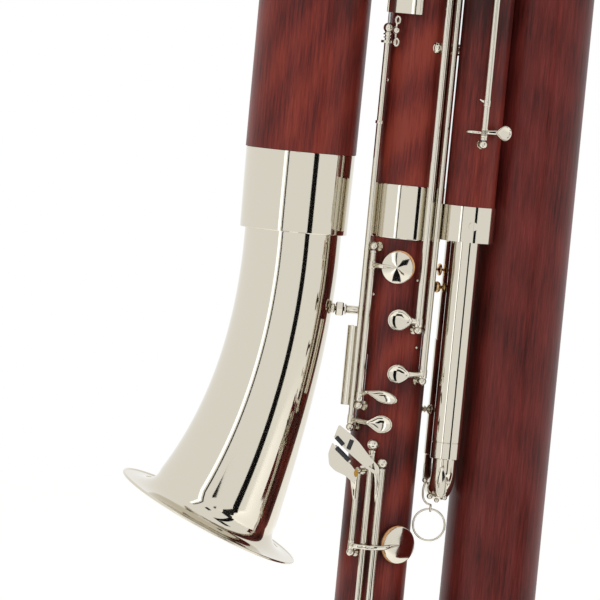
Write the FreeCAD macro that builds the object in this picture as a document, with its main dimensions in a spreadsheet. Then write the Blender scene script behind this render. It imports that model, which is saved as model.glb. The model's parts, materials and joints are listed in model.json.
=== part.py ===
import FreeCAD, Part
import math
import os
import re

import Sketcher

# Contrabassoon with a downward metal bell, in millimetres.
# +Z runs up the tubes, the keyed front faces -Y and the bell stands at -X.
# The origin is the tip of the end pin.

Vector = FreeCAD.Vector
UP = Vector(0, 0, 1)
DOWN = Vector(0, 0, -1)
RIGHT = Vector(1, 0, 0)
FRONT = Vector(0, -1, 0)

# Driving sizes

DRIVING = {
    # Plan of the tubes, seen from above
    "middle_to_bass": 111.0,
    "bass_back": 24.0,
    "middle_to_wing": 57.0,
    "wing_forward": 22.0,
    "middle_to_receiver": 50.0,
    "receiver_back": 15.0,
    "middle_to_bell": 103.5,
    "pin_behind_bow": 46.0,
    # Wooden joints
    "middle_radius": 32.2,
    "middle_bore_top": 18.5,
    "middle_bore_low": 27.0,
    "wing_radius": 23.3,
    "wing_bore_low": 11.0,
    "wing_bore_top": 17.5,
    "bass_radius": 45.0,
    "bass_bore_low": 28.5,
    "bass_bore_top": 38.0,
    "bell_joint_radius_top": 53.2,
    "bell_joint_radius_low": 51.6,
    "bell_joint_bore_top": 40.0,
    "bell_joint_bore_low": 43.2,
    "joint_foot": 230.0,
    "middle_top": 1270.0,
    "bass_top": 1320.0,
    "wing_foot": 838.0,
    # Ferrules
    "ferrule_wall": 1.6,
    "ferrule_height": 30.0,
    "ferrule_lip": 12.0,
    "middle_band_foot": 826.0,
    "middle_band_height": 50.0,
    "wing_band_foot": 829.3,
    "wing_band_height": 33.0,
    "collar_foot": 823.3,
    "collar_height": 75.0,
    "collar_radius_top": 50.9,
    "collar_radius_low": 49.9,
    "collar_wall": 2.4,
    "collar_lip": 2.0,
    # Metal bell
    "bell_radius": 45.0,
    "bell_wall": 1.2,
    "bell_arc_radius": 671.0,
    "bell_arc_deg": 23.0,
    "bell_turn_deg": 6.0,
    "bell_throat_radius": 62.0,
    "bell_flare_length": 24.4,
    "bell_rim_radius": 90.0,
    "bell_rim_wire": 1.3,
    "bell_tenon": 26.0,
    # Bows
    "bow_wall": 1.5,
    "top_bow_leg": 14.0,
    "small_bow_leg": 14.0,
    "bottom_bow_leg": 16.0,
    "guard_wall": 3.0,
    "guard_width": 26.0,
    # End pin
    "pin_radius": 5.0,
    "pin_foot_radius": 4.0,
    "pin_foot_length": 60.0,
    "pin_length": 330.0,
    "pin_fit": 0.05,
    "socket_radius": 9.0,
    "socket_foot": 118.0,
    "socket_height": 100.0,
    "screw_radius": 3.0,
    "screw_knob_radius": 9.0,
    "screw_knob_height": 6.0,
    # First tube, tuning slide and water key
    "slide_tube_radius": 11.3,
    "slide_wall": 1.0,
    "slide_fit": 0.05,
    "sleeve_radius": 13.7,
    "sleeve_foot": 626.5,
    "sleeve_top": 765.6,
    "bend_centre": 614.9,
    "bend_leg_top": 710.0,
    "receiver_sleeve_top": 735.0,
    "receiver_top": 1300.0,
    "receiver_top_radius": 8.6,
    "receiver_cup_radius": 10.5,
    "receiver_cup_height": 40.0,
    "ring_radius": 14.7,
    "ring_wire": 0.95,
    "ring_drop": 51.8,
    "ring_offset": 48.4,
    "ring_back": 6.5,
    "hook_wire": 0.9,
    "spout_radius": 3.2,
    "cork_radius": 4.2,
    "water_pin_radius": 0.9,
    # Crook
    "crook_foot_radius": 6.4,
    "crook_tip_radius": 3.4,
    "crook_wall": 0.6,
    "crook_rise": 12.0,
    "crook_arc_radius": 62.0,
    "crook_run": 120.0,
    "crook_cork_radius": 8.0,
    # Bell stay
    "stay_drop": 68.3,
    "stay_rod_radius": 5.0,
    "stay_thread_radius": 2.3,
    "stay_nut_radius": 6.8,
    "stay_nut_length": 7.4,
    # Keywork
    "hinge_radius": 2.9,
    "pivot_radius": 1.5,
    "pivot_fit": 0.05,
    "rod_reach": 8.5,
    "post_ball_radius": 4.0,
    "post_stem_radius": 1.8,
    "post_foot_radius": 4.2,
    "post_foot_height": 1.2,
    "post_gap": 0.3,
    "spring_radius": 0.4,
    "spring_length": 46.0,
    "arm_radius": 2.1,
    "bridge_gap": 2.8,
    "chimney_height": 3.5,
    "chimney_wall": 1.6,
    "pad_thickness": 3.0,
    "pad_gap": 0.2,
    "cup_wall": 0.8,
    "cup_crown": 2.4,
    "touch_thickness": 2.2,
    "touch_lift": 7.0,
    "roller_radius": 2.1,
    "axle_radius": 0.6,
    "lug_radius": 1.5,
    "slot_width": 1.1,
    "slot_depth": 1.5,
    # Strap eyelet on the rear of the bass joint
    "eyelet_radius": 9.0,
    "eyelet_bore": 6.0,
    "eyelet_thickness": 5.0,
    "eyelet_stand_off": 8.5,
    "eyelet_height": 915.0,
}

ALIASES = set()


class Sizes:
    """The driving sizes by name, as plain numbers."""

    def __init__(self, values):
        self.__dict__.update(values)


d = Sizes(DRIVING)
doc = FreeCAD.newDocument("Contrabassoon")
sheet = doc.addObject("Spreadsheet::Sheet", "Dims")


def write_cell(name, value):
    """Puts one plain number in the sheet under its own name."""
    row = len(ALIASES) + 1
    sheet.set("A%d" % row, name)
    sheet.set("B%d" % row, repr(float(value)))
    sheet.setAlias("B%d" % row, name)
    ALIASES.add(name)
    return name


for size_name, size_value in DRIVING.items():
    write_cell(size_name, size_value)
doc.recompute()


def cells(formula):
    """Turns size names in a formula into references to the sheet."""
    return re.sub(r"[a-z_0-9]*[a-z_][a-z_0-9]*",
                  lambda found: "Dims." + found.group(0) if found.group(0) in ALIASES else found.group(0),
                  formula)


def bind(thing, prop, size):
    """Ties a property to the sheet, or sets it where the size is a plain constant."""
    if isinstance(size, str):
        thing.setExpression(prop, cells(size))
    else:
        setattr(thing, prop, size)


def frame_at(base, z_axis=UP, x_axis=None):
    """A placement at base whose local Z points along z_axis."""
    if x_axis is None:
        turn = FreeCAD.Rotation(UP, z_axis)
    else:
        turn = FreeCAD.Rotation(x_axis, z_axis.cross(x_axis), z_axis, "ZXY")
    return FreeCAD.Placement(base, turn)


# Shapes tied to the sheet


def cylinder(radius, height, base, axis=UP):
    thing = doc.addObject("Part::Cylinder", "Rod")
    bind(thing, "Radius", radius)
    bind(thing, "Height", height)
    thing.Placement = frame_at(base, axis)
    return thing


def ball(radius, centre):
    thing = doc.addObject("Part::Sphere", "Ball")
    bind(thing, "Radius", radius)
    thing.Placement = frame_at(centre)
    return thing


def torus(ring, wire, centre, axis):
    thing = doc.addObject("Part::Torus", "Ring")
    bind(thing, "Radius1", ring)
    bind(thing, "Radius2", wire)
    thing.Placement = frame_at(centre, axis)
    return thing


def block(length, width, height, centre, z_axis=UP, x_axis=RIGHT):
    """A box centred on a point, its length along x_axis and its height along z_axis."""
    thing = doc.addObject("Part::Box", "Block")
    bind(thing, "Length", length)
    bind(thing, "Width", width)
    bind(thing, "Height", height)
    doc.recompute([thing])
    place = frame_at(centre, z_axis, x_axis)
    half = Vector(thing.Length.Value / 2, thing.Width.Value / 2, thing.Height.Value / 2)
    thing.Placement = FreeCAD.Placement(centre - place.Rotation.multVec(half), place.Rotation)
    return thing


def fuse(parts):
    thing = doc.addObject("Part::MultiFuse", "Fused")
    thing.Shapes = parts
    return thing


def cut(base, tools):
    thing = doc.addObject("Part::Cut", "Cut")
    thing.Base = base
    thing.Tool = tools[0] if len(tools) == 1 else fuse(tools)
    return thing


def group(parts):
    thing = doc.addObject("Part::Compound", "Group")
    thing.Links = parts
    return thing


def turned(outline, base, axis=UP):
    """A body turned about its own Z axis from an outline of radius and height formulas.

    A radius of None lies on the axis.
    """
    body = doc.addObject("PartDesign::Body", "Turned")
    plane = [item for item in body.Origin.OriginFeatures if item.Role == "XZ_Plane"][0]
    sketch = body.newObject("Sketcher::SketchObject", "Outline")
    sketch.AttachmentSupport = [(plane, "")]
    sketch.MapMode = "FlatFace"
    count = len(outline)
    middle = count / 2.0
    start = [Vector(20 + 10 * math.cos(math.pi * step / middle), 10 * math.sin(math.pi * step / middle), 0)
             for step in range(count)]
    for step in range(count):
        sketch.addGeometry(Part.LineSegment(start[step], start[(step + 1) % count]), False)
    for step in range(count):
        sketch.addConstraint(Sketcher.Constraint("Coincident", step, 2, (step + 1) % count, 1))
    for step, (radius, height) in enumerate(outline):
        if radius is None:
            sketch.addConstraint(Sketcher.Constraint("PointOnObject", step, 1, -2))
        else:
            place = sketch.addConstraint(Sketcher.Constraint("DistanceX", step, 1, start[step].x))
            sketch.setExpression("Constraints[%d]" % place, cells(radius))
        place = sketch.addConstraint(Sketcher.Constraint("DistanceY", step, 1, start[step].y))
        sketch.setExpression("Constraints[%d]" % place, cells(height))
    doc.recompute([sketch])
    spin = body.newObject("PartDesign::Revolution", "Spin")
    spin.Profile = sketch
    spin.ReferenceAxis = (sketch, ["V_Axis"])
    spin.Angle = 360
    body.Placement = frame_at(base, axis)
    return body


def loft(stations, normal):
    """A solid through circles. Each station is a centre, a direction and a radius formula."""
    rings = []
    for centre, heading, radius in stations:
        ring = doc.addObject("Part::Circle", "Station")
        bind(ring, "Radius", radius)
        ring.Placement = frame_at(centre, heading, normal)
        rings.append(ring)
    thing = doc.addObject("Part::Loft", "Loft")
    thing.Sections = rings
    thing.Solid = True
    thing.Ruled = True
    return thing


def bent_bar(points, radii, normal):
    """A round bar along straight runs in one plane, mitred where the runs meet."""
    stations = []
    last = len(points) - 1
    for step, point in enumerate(points):
        before = (point - points[max(step - 1, 0)])
        after = (points[min(step + 1, last)] - point)
        heading = Vector(0, 0, 0)
        for run in (before, after):
            if run.Length > 0:
                heading = heading + run.normalize()
        stations.append((point, heading.normalize(), radii[step]))
    return loft(stations, normal)


def oval(major, minor, thickness, centre, z_axis, x_axis):
    """A flat oval plate whose back face is centred on a point."""
    edge = doc.addObject("Part::Ellipse", "Oval")
    bind(edge, "MajorRadius", major)
    bind(edge, "MinorRadius", minor)
    edge.Placement = frame_at(centre, z_axis, x_axis)
    plate = doc.addObject("Part::Extrusion", "Plate")
    plate.Base = edge
    plate.DirMode = "Custom"
    plate.Dir = z_axis
    plate.Solid = True
    bind(plate, "LengthFwd", thickness)
    return plate


NODES = []


def node(name, thing):
    """Names a finished sub-part."""
    thing.Label = name
    NODES.append(thing)
    return thing


# The upright tubes


class Leg:
    """One upright tube: where its axis stands and how thick it is."""

    def __init__(self, x, y, radius, radius_size):
        self.x = x
        self.y = y
        self.radius = radius
        self.radius_size = radius_size

    def out(self, angle):
        """The level direction at an angle from the front, positive towards the right."""
        return Vector(math.sin(math.radians(angle)), -math.cos(math.radians(angle)), 0)

    def at(self, z):
        return Vector(self.x, self.y, z)

    def point(self, angle, reach, z):
        return self.at(z) + self.out(angle) * reach

    def angle_of(self, offset, reach):
        """The angle at which a point of that reach stands that far to the side of the axis."""
        return math.degrees(math.asin(offset / reach))

    def plug(self, foot, height):
        """A solid filling the tube's outline over a stretch of its height."""
        return cylinder(self.radius_size, height, self.at(foot))


middle_x = -d.middle_to_bass / 2
middle_y = -d.bass_back / 2 - d.pin_behind_bow
middle = Leg(middle_x, middle_y, d.middle_radius, "middle_radius")
bass = Leg(middle_x + d.middle_to_bass, middle_y + d.bass_back, d.bass_radius, "bass_radius")
wing = Leg(middle_x + d.middle_to_wing, middle_y - d.wing_forward, d.wing_radius, "wing_radius")
bell_leg = Leg(middle_x - d.middle_to_bell, middle_y, d.bell_joint_radius_low, "bell_joint_radius_low")
receiver = Leg(middle_x + d.middle_to_receiver, middle_y + d.receiver_back, d.slide_tube_radius,
               "slide_tube_radius")


# Keys
# Each key turns on a steel pivot between two ball posts. A tube on the pivot carries an arm
# with a pad cup over a chimney in the wood, and an arm with the touch that a finger presses.


class Key:
    """One key with its pad, pivot, posts, chimney and tone hole.

    offset is how far the pivot stands to the side of the leg's axis, and back puts it on the
    rear. foot and top are the ends of the tube, cup_angle and cup_height place the pad, and
    open_deg is how far the pad stands off its seat at rest.
    """

    def __init__(self, name, leg, offset, foot, top, cup_angle, cup_height, pad_radius,
                 open_deg=0.0, bridge=False, back=False, foot_ball=None, top_ball=None):
        self.name = name
        self.leg = leg
        self.reach = leg.radius + d.rod_reach
        side = leg.angle_of(offset, self.reach)
        self.angle = 180.0 - side if back else side
        self.foot = foot
        self.top = top
        self.cup_angle = cup_angle
        self.cup_height = cup_height
        self.pad_radius = pad_radius
        self.open_deg = open_deg
        self.bridge = bridge
        self.foot_ball = foot_ball or d.post_ball_radius
        self.top_ball = top_ball or d.post_ball_radius
        write_cell(name + "_foot", foot)
        write_cell(name + "_top", top)
        self.pad_size = write_cell(name + "_pad_radius", pad_radius)
        self.length = name + "_top - " + name + "_foot"
        self.seat = leg.radius + d.chimney_height + d.pad_gap

    def over_pivot(self, height):
        return self.leg.point(self.angle, self.reach, height)

    def over_seat(self, aside, above):
        """A point beside the pad's axis and above the underside of the pad, level with the cup."""
        out = self.leg.out(self.cup_angle)
        along = UP.cross(out)
        centre = self.leg.point(self.cup_angle, self.seat, self.cup_height)
        return centre + along * aside + out * above

    def cup(self):
        pad = self.pad_size
        outline = [(None, "pad_thickness"), (pad, "pad_thickness"), (pad, "pad_thickness / 3"),
                   (pad + " + cup_wall", "pad_thickness / 3"),
                   (pad + " + cup_wall", "pad_thickness + cup_wall / 2"),
                   (None, "pad_thickness + cup_crown")]
        return turned(outline, self.over_seat(0, 0), self.leg.out(self.cup_angle))

    def cup_arm(self):
        """The arm that rises from the tube, passes over the rim of the cup and ends on its crown."""
        side = 1.0 if self.angle > self.cup_angle else -1.0
        rim = self.pad_radius + d.cup_wall + 1.0
        shoulder = self.over_seat(side * rim, d.pad_thickness + d.cup_wall / 2 + d.arm_radius * 0.8)
        crown = self.over_seat(0, d.pad_thickness + d.cup_crown + d.arm_radius * 0.3)
        points = [self.over_pivot(self.cup_height), shoulder, crown]
        if self.bridge:
            high = self.reach + d.hinge_radius + d.arm_radius + d.bridge_gap
            far = self.cup_angle + side * math.degrees(math.atan(rim / self.seat))
            first = self.leg.point(self.angle + (far - self.angle) * 0.25, high, self.cup_height)
            second = self.leg.point(self.angle + (far - self.angle) * 0.7, high, self.cup_height)
            points = [points[0], first, second, shoulder, crown]
        return bent_bar(points, ["arm_radius"] * len(points), UP)

    def build(self, touch_parts):
        """Joins the key, makes its pad, and turns both from closed to their rest."""
        barrel = cylinder("hinge_radius", self.length, self.over_pivot(self.foot))
        hole = cylinder("pivot_radius + pivot_fit", self.length, self.over_pivot(self.foot))
        solid = node(self.name, cut(fuse([barrel, self.cup(), self.cup_arm()] + touch_parts), [hole]))
        pad = cylinder(self.pad_size, "pad_thickness", self.over_seat(0, 0), self.leg.out(self.cup_angle))
        node(self.name.replace("_key", "_pad"), pad)
        side = 1.0 if self.cup_angle > self.angle else -1.0
        turn = FreeCAD.Rotation(UP, -side * self.open_deg)
        rest = FreeCAD.Placement(Vector(), turn, self.over_pivot(0))
        solid.Placement = rest
        pad.Placement = rest.multiply(pad.Placement)

    def posts(self):
        """A ball post at each end of the tube."""
        return [post(self.leg, self.angle, self.foot - d.post_gap - self.foot_ball, self.foot_ball),
                post(self.leg, self.angle, self.top + d.post_gap + self.top_ball, self.top_ball)]

    def pivot(self):
        low = d.post_gap + self.foot_ball
        high = d.post_gap + self.top_ball
        length = self.length + " + %.2f" % (low + high)
        return cylinder("pivot_radius", length, self.over_pivot(self.foot - low))

    def spring(self):
        """The needle spring that stands in the lower post, between the wood and the tube."""
        height = self.foot - d.post_gap - self.foot_ball + d.post_stem_radius
        return cylinder("spring_radius", "spring_length",
                        self.leg.point(self.angle, self.leg.radius + 3.2, height))

    def chimney_cut(self, wall, reach_in, deep):
        out = self.leg.out(self.cup_angle)
        start = self.leg.point(self.cup_angle, reach_in, self.cup_height)
        return cylinder(self.pad_size + " - " + wall, deep, start, out)

    def chimney(self):
        """The raised metal seat of the tone hole, cut to the round of the wood."""
        edge = self.pad_radius - 1
        start = math.sqrt(self.leg.radius ** 2 - edge ** 2) - 0.5
        tall = write_cell(self.name + "_chimney_height", self.leg.radius + d.chimney_height - start)
        return cut(self.chimney_cut("1", start, tall), [self.chimney_cut("1 - chimney_wall", start, tall)])

    def tone_hole(self):
        return self.chimney_cut("1 - chimney_wall", 0, self.leg.radius_size + " + 5")


def post(leg, angle, height, ball_radius):
    """A turned ball on a stem whose foot sits on the wood. A large ball has a screw slot."""
    out = leg.out(angle)
    inner = leg.point(angle, leg.radius - 1, height)
    centre = leg.point(angle, leg.radius + d.rod_reach, height)
    stem = cylinder("post_stem_radius", "rod_reach + 1", inner, out)
    foot = cylinder("post_foot_radius", "post_foot_height + 1", inner, out)
    turned_post = fuse([stem, foot, ball(ball_radius, centre)])
    if ball_radius <= d.post_ball_radius:
        return turned_post
    slot_centre = centre + out * (ball_radius + 2 - d.slot_depth)
    slot = block(2 * ball_radius, "slot_width", 4, slot_centre, out, UP.cross(out))
    return cut(turned_post, [slot])


def oval_touch(key, angle, height, major, minor, tilt_deg=0.0):
    """An oval finger plate held off the wood, with a tapered neck to the hinge tube."""
    out = key.leg.out(angle)
    centre = key.leg.point(angle, key.leg.radius + d.touch_lift, height)
    along = FreeCAD.Rotation(out, tilt_deg).multVec(UP.cross(out))
    plate = oval(major, minor, "touch_thickness", centre, out, along)
    start = key.over_pivot(height)
    end = centre + out * (d.touch_thickness / 2)
    return [plate, bent_bar([start, end], ["arm_radius", "touch_thickness / 2 - 0.05"], UP)]


def sheet_metal(points, direction, thickness):
    """A flat piece cut to a closed outline and given a thickness along one direction."""
    edge = doc.addObject("Part::Polygon", "Outline")
    edge.Nodes = points
    edge.Close = True
    plate = doc.addObject("Part::Extrusion", "Plate")
    plate.Base = edge
    plate.DirMode = "Custom"
    plate.Dir = direction
    plate.Solid = True
    bind(plate, "LengthFwd", thickness)
    return plate


def on_middle(side, height, depth):
    """A point by its side and depth from the middle joint's axis, and its height."""
    return Vector(middle.x + side, middle.y - depth, height)


def roller_seat(name, start, end, depth):
    """Makes a roller between two points and returns the room it needs and its axle with lugs."""
    first = on_middle(start[0], start[1], depth)
    last = on_middle(end[0], end[1], depth)
    axis = (last - first).normalize()
    span = write_cell(name + "_length", (last - first).Length)
    roller = cylinder("roller_radius", span, first, axis)
    node(name, cut(roller, [cylinder("axle_radius + pivot_fit", span, first, axis)]))
    rollers.append((name, first, axis))
    room = cylinder("roller_radius + 0.4", span + " + 0.5", first - axis * 0.25, axis)
    axle = cylinder("axle_radius", span + " + 3", first - axis * 1.5, axis)
    lugs = [cylinder("lug_radius", "1.5", first - axis * 1.75, axis),
            cylinder("lug_radius", "1.5", last + axis * 0.25, axis)]
    return room, [axle] + lugs


def finger_plate(corners, depth, seats):
    """A plate facing the front with rollers let into it."""
    outline = [on_middle(side, height, depth - d.touch_thickness / 2) for side, height in corners]
    plate = sheet_metal(outline, FRONT, "touch_thickness")
    plate = cut(plate, [room for room, axle in seats])
    return [plate] + [piece for room, axle in seats for piece in axle]


keys = []
rollers = []


def make_key(key, touch_parts):
    key.build(touch_parts)
    keys.append(key)


index_key = Key("index_key", middle, 20.0, 748.0, 1172.0, -14.0, 1155.0, 15.0, open_deg=7.0)
make_key(index_key, oval_touch(index_key, 4.0, 750.6, 11.0, 9.2))

long_key = Key("middle_finger_key", middle, 28.8, 701.0, 1131.0, -8.0, 1114.0, 15.0,
               open_deg=7.0, bridge=True)
make_key(long_key, oval_touch(long_key, 11.0, 703.4, 10.2, 8.4))

ring_key = Key("ring_finger_key", middle, -33.4, 652.0, 1229.0, -16.0, 1216.0, 15.0, open_deg=7.0)
make_key(ring_key, oval_touch(ring_key, -4.5, 654.8, 12.0, 7.8))

side_key = Key("side_key", middle, -27.4, 673.0, 813.0, -4.4, 799.9, 14.0, open_deg=7.0)
make_key(side_key, oval_touch(side_key, 1.0, 677.5, 13.0, 5.5, tilt_deg=-12.0))

plate_depth = 45.0
low_key = Key("low_key", middle, -21.8, 537.0, 606.0, 35.0, 543.0, 16.6, bridge=True, top_ball=3.0)
low_corners = [(-48.5, 634.0), (-51.5, 623.0), (-49.7, 612.5), (-43.8, 607.5),
               (-31.7, 603.3), (-26.5, 598.3), (-28.5, 612.5), (-42.5, 626.0)]
low_seat = roller_seat("low_roller", (-44.6, 629.2), (-31.6, 618.2), plate_depth)
low_arm = bent_bar([on_middle(-30.0, 603.0, plate_depth), low_key.over_pivot(592.0)],
                   ["touch_thickness / 2 - 0.05", "arm_radius"], FRONT)
make_key(low_key, finger_plate(low_corners, plate_depth, [low_seat]) + [low_arm])

far_key = Key("far_low_key", middle, -0.6, 445.0, 613.0, 36.0, 460.0, 17.0, top_ball=4.9)
far_corners = [(-44.1, 650.7), (-47.6, 638.6), (-35.5, 627.4), (-14.8, 613.5), (-10.8, 620.9), (-23.9, 635.9),
               (-30.7, 641.5)]
edge_seat = roller_seat("edge_roller", (-45.6, 638.9), (-38.2, 632.1), plate_depth)
cross_seat = roller_seat("cross_roller", (-30.8, 637.4), (-33.4, 628.6), plate_depth)
far_arm = bent_bar([on_middle(-14.0, 616.5, plate_depth), on_middle(-7.0, 612.5, plate_depth),
                    far_key.over_pivot(606.0)],
                   ["touch_thickness / 2 - 0.05", "arm_radius", "arm_radius"], UP)
make_key(far_key, finger_plate(far_corners, plate_depth, [edge_seat, cross_seat]) + [far_arm])

linked_key = Key("linked_low_key", middle, -10.9, 345.0, 629.0, 26.0, 360.0, 17.0, top_ball=5.2)
tab_end = on_middle(-30.0, 624.0, plate_depth - 1.6 - d.touch_thickness / 2)
tab = bent_bar([linked_key.over_pivot(624.0), tab_end], ["arm_radius", "1.4"], UP)
make_key(linked_key, [tab])

wing_key = Key("wing_key", wing, 6.0, 925.0, 1118.0, 62.0, 1105.0, 10.0, open_deg=7.0)
wing_touch = oval_touch(wing_key, 48.0, 931.5, 8.5, 7.0)
wing_tip = wing_key.over_pivot(931.5) + Vector(-9.0, -1.0, 0)
wing_lever = oval(7.6, 4.5, "touch_thickness", wing_tip, UP, RIGHT)
wing_collar = cylinder("hinge_radius + 1.1", "6", wing_key.over_pivot(959.0))
make_key(wing_key, wing_touch + [wing_lever, wing_collar])

left_key = Key("left_hand_key", wing, 6.0, 1136.0, 1229.0, -34.0, 1216.0, 10.0, open_deg=7.0)
make_key(left_key, oval_touch(left_key, -26.0, 1148.0, 9.0, 7.0))

thumb_key = Key("thumb_low_key", bass, 20.0, 500.0, 900.0, 196.0, 524.0, 21.0, open_deg=6.0, back=True)
make_key(thumb_key, oval_touch(thumb_key, 190.0, 885.0, 11.0, 8.0))

thumb_high_key = Key("thumb_high_key", bass, 20.0, 930.0, 1255.0, 196.0, 1230.0, 21.0,
                     open_deg=6.0, back=True)
make_key(thumb_high_key, oval_touch(thumb_high_key, 190.0, 946.0, 11.0, 8.0))


def holes_in(leg):
    return [key.tone_hole() for key in keys if key.leg is leg]


# Wooden joints

middle_wood = turned([("middle_bore_low", "joint_foot"), ("middle_radius", "joint_foot"),
                      ("middle_radius", "middle_top"), ("middle_bore_top", "middle_top")], middle.at(0))
node("middle_joint", cut(middle_wood, holes_in(middle)))

bass_wood = turned([("bass_bore_low", "joint_foot"), ("bass_radius", "joint_foot"),
                    ("bass_radius", "bass_top"), ("bass_bore_top", "bass_top")], bass.at(0))
node("bass_joint", cut(bass_wood, holes_in(bass)))

wing_wood = turned([("wing_bore_low", "wing_foot"), ("wing_radius", "wing_foot"),
                    ("wing_radius", "middle_top"), ("wing_bore_top", "middle_top")], wing.at(0))
node("wing_joint", cut(wing_wood, holes_in(wing)))

collar_top = "collar_foot + collar_height"
wood_end = "collar_foot + bell_tenon + 9"
socket = "collar_radius_low - collar_wall"
node("bell_joint", turned([("bell_joint_bore_low", wood_end), (socket, wood_end), (socket, collar_top),
                           ("bell_joint_radius_low", collar_top), ("bell_joint_radius_top", "bass_top"),
                           ("bell_joint_bore_top", "bass_top")], bell_leg.at(0)))

# Ferrules


def top_ferrule(leg, wood, end, tube):
    outer = wood + " + ferrule_wall"
    return turned([(wood, end + " - ferrule_height"), (outer, end + " - ferrule_height"),
                   (outer, end + " + ferrule_lip"), (tube, end + " + ferrule_lip"), (tube, end), (wood, end)],
                  leg.at(0))


def foot_ferrule(leg, wood, end, tube):
    outer = wood + " + ferrule_wall"
    return turned([(wood, end), (tube, end), (tube, end + " - ferrule_lip"), (outer, end + " - ferrule_lip"),
                   (outer, end + " + ferrule_height"), (wood, end + " + ferrule_height")], leg.at(0))


def band(leg, wood, foot, height):
    outer = wood + " + ferrule_wall"
    top = foot + " + " + height
    return turned([(wood, foot), (outer, foot), (outer, top), (wood, top)], leg.at(0))


small_bow_radii = ("wing_bore_top + bow_wall", "middle_bore_top + bow_wall")
bottom_bow_radii = ("middle_bore_low + bow_wall", "bass_bore_low + bow_wall")
top_bow_radii = ("bass_bore_top + bow_wall", "bell_joint_bore_top + bow_wall")
node("middle_ferrules", group([
    foot_ferrule(middle, "middle_radius", "joint_foot", bottom_bow_radii[0]),
    band(middle, "middle_radius", "middle_band_foot", "middle_band_height"),
    top_ferrule(middle, "middle_radius", "middle_top", small_bow_radii[1])]))
node("bass_ferrules", group([
    foot_ferrule(bass, "bass_radius", "joint_foot", bottom_bow_radii[1]),
    top_ferrule(bass, "bass_radius", "bass_top", top_bow_radii[0])]))
node("wing_ferrules", group([
    turned([("slide_tube_radius", "wing_band_foot"), ("wing_radius + ferrule_wall", "wing_band_foot"),
            ("wing_radius + ferrule_wall", "wing_band_foot + wing_band_height"),
            ("wing_radius", "wing_band_foot + wing_band_height"), ("wing_radius", "wing_foot"),
            ("slide_tube_radius", "wing_foot")], wing.at(0)),
    top_ferrule(wing, "wing_radius", "middle_top", small_bow_radii[0])]))
bell_collar = turned([("bell_radius", "collar_foot"), ("collar_radius_low", "collar_foot"),
                      ("collar_radius_top", collar_top), (socket, collar_top),
                      (socket, "collar_foot + collar_lip"), ("bell_radius", "collar_foot + collar_lip")],
                     bell_leg.at(0))
node("bell_ferrules", group([top_ferrule(bell_leg, "bell_joint_radius_top", "bass_top", top_bow_radii[1]),
                             bell_collar]))
cork_low = "collar_foot + collar_lip + 1"
cork_high = "collar_foot + bell_tenon - 1"
node("bell_tenon_cork", turned([("bell_radius", cork_low), (socket, cork_low),
                                (socket, cork_high), ("bell_radius", cork_high)], bell_leg.at(0)))

# Metal bell

lean = math.radians(d.bell_turn_deg)
bell_side = Vector(-math.cos(lean), math.sin(lean), 0)
bell_normal = UP.cross(bell_side)
bell_length = d.bell_arc_radius * math.radians(d.bell_arc_deg)
throat_length = bell_length - d.bell_flare_length


def bell_station(run, radius):
    """A circle of the bell at a distance along its centre line below the collar."""
    turn = max(run, 0) / d.bell_arc_radius
    drop = d.bell_arc_radius * math.sin(turn) + min(run, 0)
    aside = d.bell_arc_radius * (1 - math.cos(turn))
    centre = bell_leg.at(d.collar_foot - drop) + bell_side * aside
    heading = DOWN * math.cos(turn) + bell_side * math.sin(turn)
    return centre, heading, radius


def bell_solid(wall, start, rim):
    """The bell's outer form, or its air space when a wall is taken off."""
    stations = [bell_station(start, "bell_radius" + wall), bell_station(0, "bell_radius" + wall)]
    for step in (0.3, 0.5, 0.65, 0.78, 0.9, 1.0):
        grown = "bell_radius + (bell_throat_radius - bell_radius) * %.4f" % step ** 3
        stations.append(bell_station(throat_length * step, grown + wall))
    for step in (35, 60, 78, 90):
        turn = math.radians(step)
        inset = d.bell_wall if wall else 0.0
        run = throat_length + d.bell_flare_length * math.sin(turn) + inset * math.sin(turn)
        grown = "bell_throat_radius + (bell_rim_radius - bell_throat_radius) * %.4f" % (1 - math.cos(turn))
        taken = " - bell_wall * %.4f" % max(math.cos(turn), 0.6) if wall else ""
        stations.append(bell_station(run, grown + taken))
    taken = " - bell_wall * 0.6" if wall else ""
    stations.append(bell_station(bell_length + d.bell_wall + rim, "bell_rim_radius" + taken))
    return loft(stations, bell_normal)


rim_centre, rim_heading, rim_size = bell_station(bell_length + d.bell_wall / 2, "bell_rim_radius")
bell_outer = bell_solid("", -d.bell_tenon, 0)
bell_air = bell_solid(" - bell_wall", -d.bell_tenon - 1, 1)
rim_wire = torus("bell_rim_radius - 0.4", "bell_rim_wire", rim_centre, rim_heading)
node("metal_bell", fuse([cut(bell_outer, [bell_air]), rim_wire]))

# Bows


def bow(first, second, height, leg, radii, bores, upward, steps):
    """A bent tube from one leg to another, straight for a short way at each end."""
    span = second.at(0) - first.at(0)
    half = span.Length / 2
    across = Vector(span).normalize()
    heading = UP if upward else DOWN
    centre = (first.at(height) + second.at(height)) * 0.5 + heading * leg
    normal = across.cross(heading)
    solids = []
    for low, high in (radii, bores):
        stations = [(first.at(height), heading, low)]
        for step in range(steps + 1):
            turn = math.pi * step / steps
            place = centre - across * (half * math.cos(turn)) + heading * (half * math.sin(turn))
            course = heading * math.cos(turn) + across * math.sin(turn)
            size = "(%s) * %.4f + (%s) * %.4f" % (low, 1 - step / steps, high, step / steps)
            stations.append((place, course, size))
        stations.append((second.at(height), heading * -1, high))
        solids.append(loft(stations, normal))
    return solids


def hollow_bow(name, *plan):
    outside, inside = bow(*plan)
    node(name, cut(outside, [inside]))
    return outside


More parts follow.
